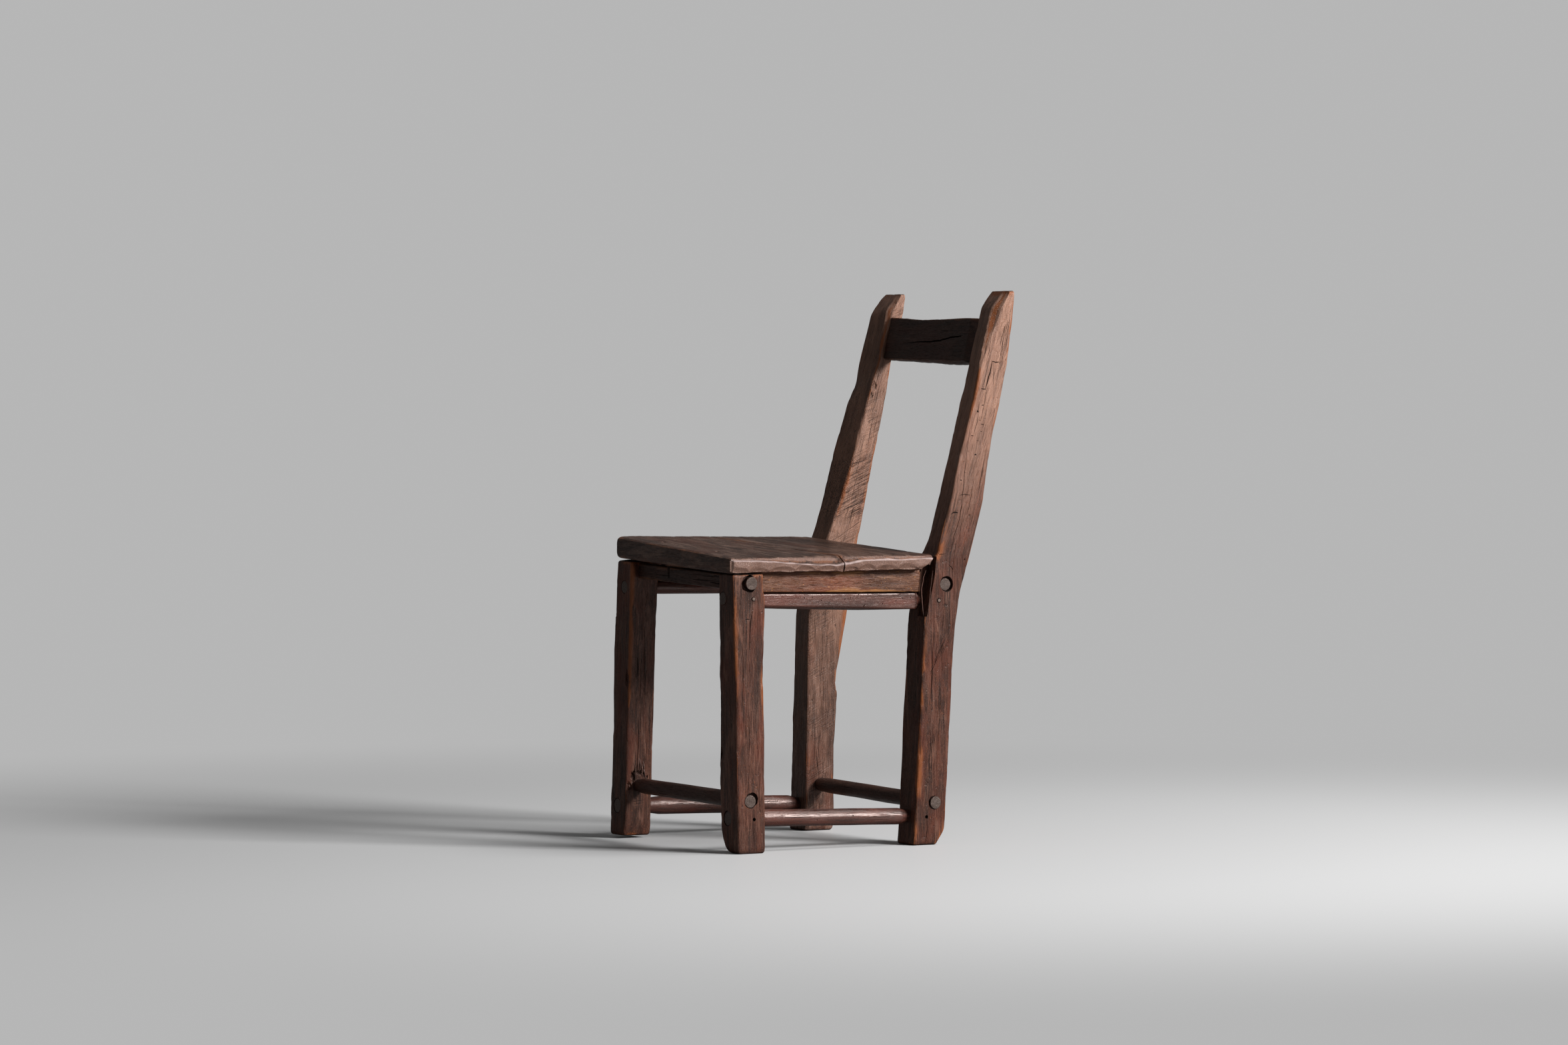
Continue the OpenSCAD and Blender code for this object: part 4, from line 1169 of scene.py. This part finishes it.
def seat_front_board():
    board = seat_board("seat_front_board", (-249.0, -262.0), (-74.6, -61.6), True, 5)
    cuts = [peg_bore("front_left"), peg_bore("front_right")]
    cuts += [
        crack([(-39, -256.5, 457), (-38.5, -256.5, 449), (-40, -256.5, 440)], FORWARD, 1.3, 3, 61),
        crack([(-24, -257, 452), (-23, -257, 447), (-24.5, -257, 441)], FORWARD, 1.0, 3, 62),
        seat_check([(-60, -92), (-20, -93), (30, -91)], 1.2, 63),
        seat_check([(140, -180), (170, -181), (201, -180)], 1.0, 64),
        seat_check([(-186, -150), (-150, -151), (-105, -149)], 1.4, 65),
        seat_check([(-186, -205), (-160, -206), (-128, -204)], 1.2, 66),
        seat_check([(-186, -101), (-168, -101), (-140, -99)], 1.2, 67),
        crack([(201, -63, 440), (201.2, -66, 436), (201, -65, 430)], OUT_LEFT, 0.8, 1.6, 66, step=1.0),
        crack([(201, -212, 436), (201.2, -190, 433), (201, -168, 434)], OUT_LEFT, 0.7, 3, 67),
        crack([(201, -150, 430), (201.2, -128, 432)], OUT_LEFT, 0.6, 3, 68),
    ]
    cuts += seat_marks(301, -246, -80, 16)
    carve(board, cuts)
    return finish_piece(board, "seat_front_board", seat_wood)


def seat_back_board():
    board = seat_board("seat_back_board", (-73.4, -60.4), (107.0, 101.0), False, 6)
    cuts = [peg_bore("back_left"), peg_bore("back_right")]
    cuts += [
        crack([(201, -53, 443), (201.2, -51, 438), (201, -53, 434), (201.2, -51.5, 428)], OUT_LEFT, 1.0, 2.0,
              71, step=1.0),
        seat_check([(150, 12), (178, 11), (201, 12)], 0.9, 72),
        crack([(201, 20, 433), (201.2, 45, 431), (201, 66, 432)], OUT_LEFT, 0.7, 3, 73),
        seat_check([(-186, 60), (-160, 61), (-120, 60)], 1.1, 74),
    ]
    cuts += seat_marks(302, -52, 88, 16)
    carve(board, cuts)
    return finish_piece(board, "seat_back_board", seat_wood)


# ---------------------------------------------------------------- flat members

def beam_axes(start, end, turn=0.0):
    """Unit vectors along a member, across it and up it. turn leans its upper edge towards +Y, in degrees."""
    start, end = np.array(start, float), np.array(end, float)
    along = (end - start) / np.linalg.norm(end - start)
    up = np.array((0, math.sin(math.radians(turn)), math.cos(math.radians(turn))))
    up -= along * (up @ along)
    up /= np.linalg.norm(up)
    across = np.cross(up, along)
    if across @ (1, 1, 0) < 0:
        across = -across
    return along, across, up


def beam(name, start, end, wide, high, axis, seed, radius=2.4, turn=0.0, step=2.4, shape=None, **hewing):
    """A squared member whose axis runs from start to end. shape may change the straight bar first."""
    along, across, up = beam_axes(start, end, turn)
    length = np.linalg.norm(np.array(end, float) - start)
    size = (length, wide, high)
    flat, faces = brick(size, step)
    sway = 1 + 0.35 * noise(flat * (1 / 50, 1 / 14, 1 / 14), seed + 21)
    points = soften(flat, size, radius * sway)
    if shape:
        points = shape(points, size)
    placed = (np.array(start, float) + points[:, :1] * along + (points[:, 1:2] - wide / 2) * across
              + (points[:, 2:] - high / 2) * up)
    made = make_object(name, placed, faces)
    hew(made, placed, edge_distance(flat, size), axis, seed, **hewing)
    two_slots(made)
    return made


def along_between(ends, first, last):
    """The points a distance first from one end of an axis and last from its other end."""
    a, b = np.array(ends[0], float), np.array(ends[1], float)
    along = (b - a) / np.linalg.norm(b - a)
    return a + along * first, b - along * last


def flat_rail(node, ends, shoulders, surface, seed, left_tenon, cuts=()):
    """A squared rail with round tenons. left_tenon is the worn left tenon's radius and its shift in y."""
    start, end = along_between(ends, shoulders[0] - 2.5, shoulders[1] - 2.5)
    sag = np.array((0, left_tenon[1], 0))
    rail = beam(node + "_hewn", start, end, 23.6, 23.6, ALONG_X, seed, wave=0.5, dish=0.6, nick=1.2)
    if cuts:
        carve(rail, cuts)
    inside = (end - start) * 0.03
    tenons = [
        worked_rod("tenon", ends[0] + sag, start + inside + sag, lambda h: left_tenon[0], ALONG_X, seed + 1,
                   dome=1.4, nick=0.8),
        worked_rod("tenon", end - inside, ends[1], lambda h: RAIL_TENON, ALONG_X, seed + 2, dome=0.9,
                   nick=0.2),
    ]
    join(rail, tenons)
    return finish_piece(rail, node, surface)


def front_rail():
    notch = [(-46, 429), (-43.2, 413), (-42.2, 409), (-39.4, 408.5), (-38.6, 413), (-36.2, 429)]
    points = [(x, y, z) for y in (-240.0, -200.0) for x, z in notch]
    faces = [list(range(6)), [11, 10, 9, 8, 7, 6]]
    faces += [[i, i + 6, (i + 1) % 6 + 6, (i + 1) % 6] for i in range(6)]
    wedge = make_object("notch", np.array(points), faces)
    outward_by_volume(wedge)
    cuts = [as_cutter(wedge)]
    cuts += scatter_checks(8, (-120, -231, 404), (100, -231, 420), ALONG_X, FORWARD, 41)
    return flat_rail("front_rail", front_rail_ends, (47.5, 49), cross_wood, 11, (10.3, 1.8), cuts)


def back_rail():
    cuts = scatter_checks(6, (-120, 139, 396), (90, 139, 412), ALONG_X, BACKWARD, 42)
    return flat_rail("back_rail", back_rail_ends, (53, 53), cross_wood, 12, (9.8, -1.0), cuts)


def apron(node, centre_x, ends_y, low_z, high_z, seed, marks):
    """A strip that lies on a round rail under one side of the seat and is pressed a little into both."""
    def shape(points, size):
        share = points[:, 0] / size[0]
        grow = (between(high_z[0] - low_z[0], high_z[1] - low_z[1], share) + 4.0) / size[2]
        points[:, 2] = size[2] / 2 + (points[:, 2] - size[2] / 2) * grow
        return points
    middle = [(low_z[i] + high_z[i]) / 2 for i in (0, 1)]
    start, end = [(centre_x, ends_y[i], middle[i]) for i in (0, 1)]
    strip = beam(node + "_hewn", start, end, 17.6, 26.0, ALONG_Y, seed, radius=2.0, shape=shape, wave=0.45,
                 dish=0.5, nick=1.1, dish_size=(36, 12))
    inside_box(strip, node, upright=False)
    carve(strip, marks)
    return finish_piece(strip, node, strip_wood)


def left_apron():
    marks = scatter_checks(7, (180.2, -190, 398), (180.2, 50, 417), ALONG_Y, OUT_LEFT, 43, width=(0.3, 0.6),
                           length=(8, 26))
    marks += [pit((180, 89.5, 421), (6, 3, 2.6), 81, 0.4, inside=False)]
    return apron("left_apron", 171.5, (-198.7, 88.5), (394.6, 390.4), (422, 421.6), 13, marks)


def right_apron():
    marks = scatter_checks(8, (-152.4, -180, 405), (-152.4, 40, 425), ALONG_Y, OUT_LEFT, 44, length=(12, 40))
    return apron("right_apron", -161.0, (-191.5, 80), (402.8, 398.6), (432.6, 429.6), 14, marks)


def crest_rail():
    start = np.array((144.0, 219.0, 774.0))
    end = np.array((-141.0, 227.0, 780.0))
    high, thick = 70.0, 18.0
    top_edge = smooth_table([(0, 2.2), (35, 2.6), (75, 1.6), (120, -0.2), (180, -1.6), (240, 0.2),
                             (285, 1.2)], 9)
    low_edge = smooth_table([(0, 3.4), (20, 1.4), (50, -1.2), (90, -1.0), (140, 0.6), (220, 2.4),
                             (285, 3.0)], 9)

    def shape(points, size):
        bevel = np.maximum(9.5 * (1 - points[:, 0] / 38), 0)
        share = points[:, 1] / size[1]
        points[:, 1] = between(bevel, size[1], share)
        points[:, 2] += between(low_edge(points[:, 0]), top_edge(points[:, 0]), points[:, 2] / size[2])
        pare(points, size, 1, 2, False, False, 5.0, 4.0)
        return points

    board_centre = np.array(beam_axes(start, end, 12.0)[1]) * thick / 2
    board = beam("crest_rail_hewn", start + board_centre, end + board_centre, thick, high, ALONG_X, 15,
                 radius=3.4, turn=12.0, shape=shape, wave=0.6, dish=0.6, nick=1.4, dish_size=(44, 24))
    cuts = [
        crack([(-86, 223.6, 773), (-50, 223.2, 774.6), (-4, 222.6, 774.9), (30, 223, 777), (54, 223.4, 781),
               (104, 226, 783.4)], FORWARD, 2.4, 7, 81, wobble=0.7),
        crack([(-60, 219, 764), (-20, 218.6, 765), (12, 218, 764)], FORWARD, 0.7, 3, 82),
        crack([(-120, 228, 792), (-80, 227, 793.4), (-30, 226.6, 793)], FORWARD, 0.7, 3, 83),
        crack([(20, 226, 792), (60, 225.4, 791)], FORWARD, 0.6, 3, 84),
        crack([(-90, 247, 779), (-30, 246, 777), (40, 245, 776)], BACKWARD, 1.2, 5, 85),
        pit((96, 222, 745), (9, 5, 4), 83, 0.5, inside=False),
    ]
    carve(board, cuts)
    return finish_piece(board, "crest_rail", crest_wood)


# ---------------------------------------------------------------- round members

def turned(ends, tenons, shoulders, body, tapers):
    """Radius along a shaved round member: diameters of its tenons and of its body, as in the CAD."""
    length = float(np.linalg.norm(np.array(ends[1], float) - ends[0]))
    a, b = shoulders
    rows = [(0, tenons[0] / 2), (a - 0.5, tenons[0] / 2), (a + 1.0, body[0] / 2 - 0.8),
            (a + 3.5, body[0] / 2), (a + max(tapers[0], 5), body[1] / 2),
            (length - b - max(tapers[1], 5), body[2] / 2),
            (length - b - 3.5, body[3] / 2), (length - b - 1.0, body[3] / 2 - 0.8),
            (length - b + 0.5, tenons[1] / 2), (length, tenons[1] / 2)]
    read = table(rows)
    return lambda h: float(read(h)) - 0.05


def rod(node, ends, tenons, shoulders, body, tapers, axis, surface, seed, marks, marks_at, bow=(0, 0, 0)):
    """A round member. marks_at is (distance of its marks from its axis, their seed)."""
    radius_at = turned(ends, tenons, shoulders, body, tapers)
    made = worked_rod(node + "_shaved", ends[0], ends[1], radius_at, axis, seed, bow=bow)
    inside_box(made, node)
    carve(made, rod_marks(ends, marks_at[0], marks, marks_at[1]))
    return finish_piece(made, node, surface)


def rod_marks(ends, radius, rows, seed):
    """Worm holes, gouges and checks in a round member. rows: (distance along it, turn in degrees, kind)."""
    along, across, up = beam_axes(*ends)
    found = []
    for k, (reach, turn, kind) in enumerate(rows):
        out = across * math.cos(math.radians(turn)) + up * math.sin(math.radians(turn))
        at = np.array(ends[0], float) + along * reach + out * radius
        if kind == "worm":
            found.append(bore(at, out, 0.85, 4, seed=seed + k, sides=14))
        elif kind == "gouge":
            side = np.cross(out, along)
            path = [at - side * 3 - along * 3, at, at + side * 3 + along * 4]
            found.append(crack(path, out, 2.2, 2.2, seed + k, step=1.0))
        else:
            path = [at - along * 18, at, at + along * 20]
            found.append(crack(path, out, 0.8, 2.5, seed + k))
    return found


def round_members():
    """The stretchers and the round rails. A mark is (distance along, turn from the outer side, kind)."""
    worms = [(312, 12, "worm"), (326, 14, "worm"), (300, -6, "worm"), (231, 26, "gouge"), (243, -32, "gouge"),
             (247, 20, "gouge"), (254, -18, "gouge"), (88, 10, "gouge"), (101, -8, "gouge"), (136, 8, "worm"),
             (150, 12, "worm"), (180, -20, "worm"), (208, 4, "worm"), (276, -24, "worm"), (200, -40, "check"),
             (300, 60, "check"), (120, 170, "check"), (218, 10, "worm"), (166, -6, "worm")]
    rod("front_stretcher", front_stretcher_ends, (20, 20), (55.5, 49.5), (24, 24.5, 24, 21), (20, 20),
        ALONG_X, cross_wood, 21, [(120, -60, "check"), (200, 30, "worm"), (250, -150, "check")], (11.8, 7))
    rod("back_stretcher", back_stretcher_ends, (20, 20), (55, 53), (24, 24.5, 24, 22), (20, 30), ALONG_X,
        cross_wood, 22, [(150, 20, "check"), (240, 160, "check")], (11.8, 8))
    rod("left_round_rail", left_rail_ends, (20, 20), (54.5, 63), (24.5, 26.5, 32.5, 30), (4, 6), ALONG_Y,
        rod_wood, 23, worms, (16.8, 9), bow=(3, 0, -1.5))
    rod("right_round_rail", right_rail_ends, (20, 20), (50, 76), (21, 22, 22, 20.5), (4, 8), ALONG_Y,
        rod_wood, 24, [(120, 0, "check"), (220, 10, "worm"), (180, 180, "check")], (11, 10))
    rod("left_stretcher", left_stretcher_ends, (23, 20), (48.5, 57), (25, 27, 25.5, 21), (10, 14), ALONG_Y,
        rod_wood, 25, [(110, 4, "check"), (150, -14, "worm"), (214, 14, "worm"), (260, 0, "check"),
                       (190, 170, "check")], (12.6, 11))
    rod("right_stretcher", right_stretcher_ends, (23, 20), (48.5, 55), (24, 29, 27, 23), (24, 14), ALONG_Y,
        rod_wood, 26, [(110, 10, "check"), (220, -10, "worm"), (260, 20, "check")], (13.5, 12))


# ---------------------------------------------------------------- pegs

def peg(node, start, end, radius, axis, seed, slot):
    made = worked_rod(node + "_whittled", start, end, lambda h: radius - 0.06, axis, seed, sides=28, step=2.0,
                      dome=0.7, wave=0.12, dish=0.1, nick=0.15)
    inside_box(made, node)
    return finish_piece(made, node, peg_wood if slot == "peg_wood" else seat_wood)


def pegs():
    across = {
        "left_rail_front_peg": (195, -218, 383.6), "left_rail_back_peg": (193.5, 114, 375.4),
        "right_rail_front_peg": (-186.5, -215, 391.6), "right_rail_back_peg": (-190.5, 114, 386.7),
        "right_stretcher_front_peg": (-199.5, -218, 49.8), "right_stretcher_back_peg": (-190.5, 92, 41.9),
    }
    for seed, (node, at) in enumerate(across.items()):
        inwards = -40 if at[0] > 0 else 40
        peg(node, at, (at[0] + inwards, at[1], at[2]), PEG, ALONG_X, 30 + seed, "peg_wood")
    for seed, (name, (x, y)) in enumerate(seat_peg_places.items()):
        top = seat_surface(x, y) - 0.5
        peg("seat_peg_" + name, (x, y, top), (x, y, top - 42), SEAT_PEG, ALONG_Z, 40 + seed, "seat_peg_wood")


# ---------------------------------------------------------------- the chair

front_left_leg()
front_right_leg()
back_left_post()
back_right_post()
seat_front_board()
seat_back_board()
front_rail()
back_rail()
left_apron()
right_apron()
crest_rail()
round_members()
pegs()


# ---------------------------------------------------------------- stage, lights and camera

BACKGROUND = (0.47, 0.47, 0.47)


def studio_floor():
    """A plain floor that fades into the background colour away from the chair."""
    bpy.ops.mesh.primitive_circle_add(vertices=96, radius=30, fill_type="NGON")
    floor = bpy.context.object
    floor.name = "floor"
    material = bpy.data.materials.new("floor_paint")
    material.use_nodes = True
    tree = material.node_tree
    shader = tree.nodes["Principled BSDF"]
    shader.inputs["Roughness"].default_value = 0.5
    shader.inputs["Specular IOR Level"].default_value = 0.3
    place = add(tree, "ShaderNodeTexCoord").outputs["Object"]
    away = add(tree, "ShaderNodeVectorMath", {"operation": "LENGTH"}, in0=place).outputs["Value"]
    seen = add(tree, "ShaderNodeLightPath").outputs["Is Camera Ray"]
    tree.links.new(blend(tree, seen, (0.22, 0.22, 0.22), (0.80, 0.80, 0.80)), shader.inputs["Base Color"])
    share = calc(tree, "MULTIPLY", remap(tree, away, 0.9, 2.6), seen)
    far = add(tree, "ShaderNodeEmission", Color=(*BACKGROUND, 1), Strength=1.0)
    mixed = add(tree, "ShaderNodeMixShader", in0=share, in1=shader.outputs[0], in2=far.outputs[0])
    tree.links.new(mixed.outputs[0], tree.nodes["Material Output"].inputs["Surface"])
    floor.data.materials.append(material)


def studio_world(fill):
    """An even fill light, with the background colour for the camera."""
    world = bpy.data.worlds.new("studio")
    world.use_nodes = True
    tree = world.node_tree
    lit = tree.nodes["Background"]
    lit.inputs["Color"].default_value = (1, 1, 1, 1)
    lit.inputs["Strength"].default_value = fill
    shown = add(tree, "ShaderNodeBackground", Color=(*BACKGROUND, 1), Strength=1.0)
    seen = add(tree, "ShaderNodeLightPath").outputs["Is Camera Ray"]
    mixed = add(tree, "ShaderNodeMixShader", in0=seen, in1=lit.outputs[0], in2=shown.outputs[0])
    tree.links.new(mixed.outputs[0], tree.nodes["World Output"].inputs["Surface"])
    bpy.context.scene.world = world


def lamp(name, towards, distance, size, irradiance, colour=(1, 1, 1)):
    """A soft square lamp in the direction towards, seen from the chair, aimed at the chair."""
    light = bpy.data.lights.new(name, "AREA")
    light.shape, light.size = "SQUARE", size
    light.energy = irradiance * math.pi * distance ** 2
    light.color = colour
    made = bpy.data.objects.new(name, light)
    way = Vector(towards).normalized()
    target = Vector((0, 0, 0.42))
    made.location = target + way * distance
    made.rotation_euler = (-way).to_track_quat("-Z", "Y").to_euler()
    bpy.context.scene.collection.objects.link(made)


def camera():
    lens = bpy.data.cameras.new("camera")
    lens.lens, lens.sensor_width = 127.0, 36.0
    made = bpy.data.objects.new("camera", lens)
    turn, dip = math.radians(59.0), math.radians(1.29)
    way = Vector((-math.sin(turn) * math.cos(dip), math.cos(turn) * math.cos(dip), -math.sin(dip)))
    made.location = (7.3466, -4.4624, 0.6863)
    made.rotation_euler = way.to_track_quat("-Z", "Y").to_euler()
    bpy.context.scene.collection.objects.link(made)
    bpy.context.scene.camera = made


studio_floor()
studio_world(0.085)
lamp("key", (0.85, 0.50, 0.45), 6.0, 1.7, 3.6)
lamp("top", (0.35, 0.45, 1.0), 6.0, 2.4, 1.0)
camera()
bpy.context.scene.view_settings.view_transform = "Standard"
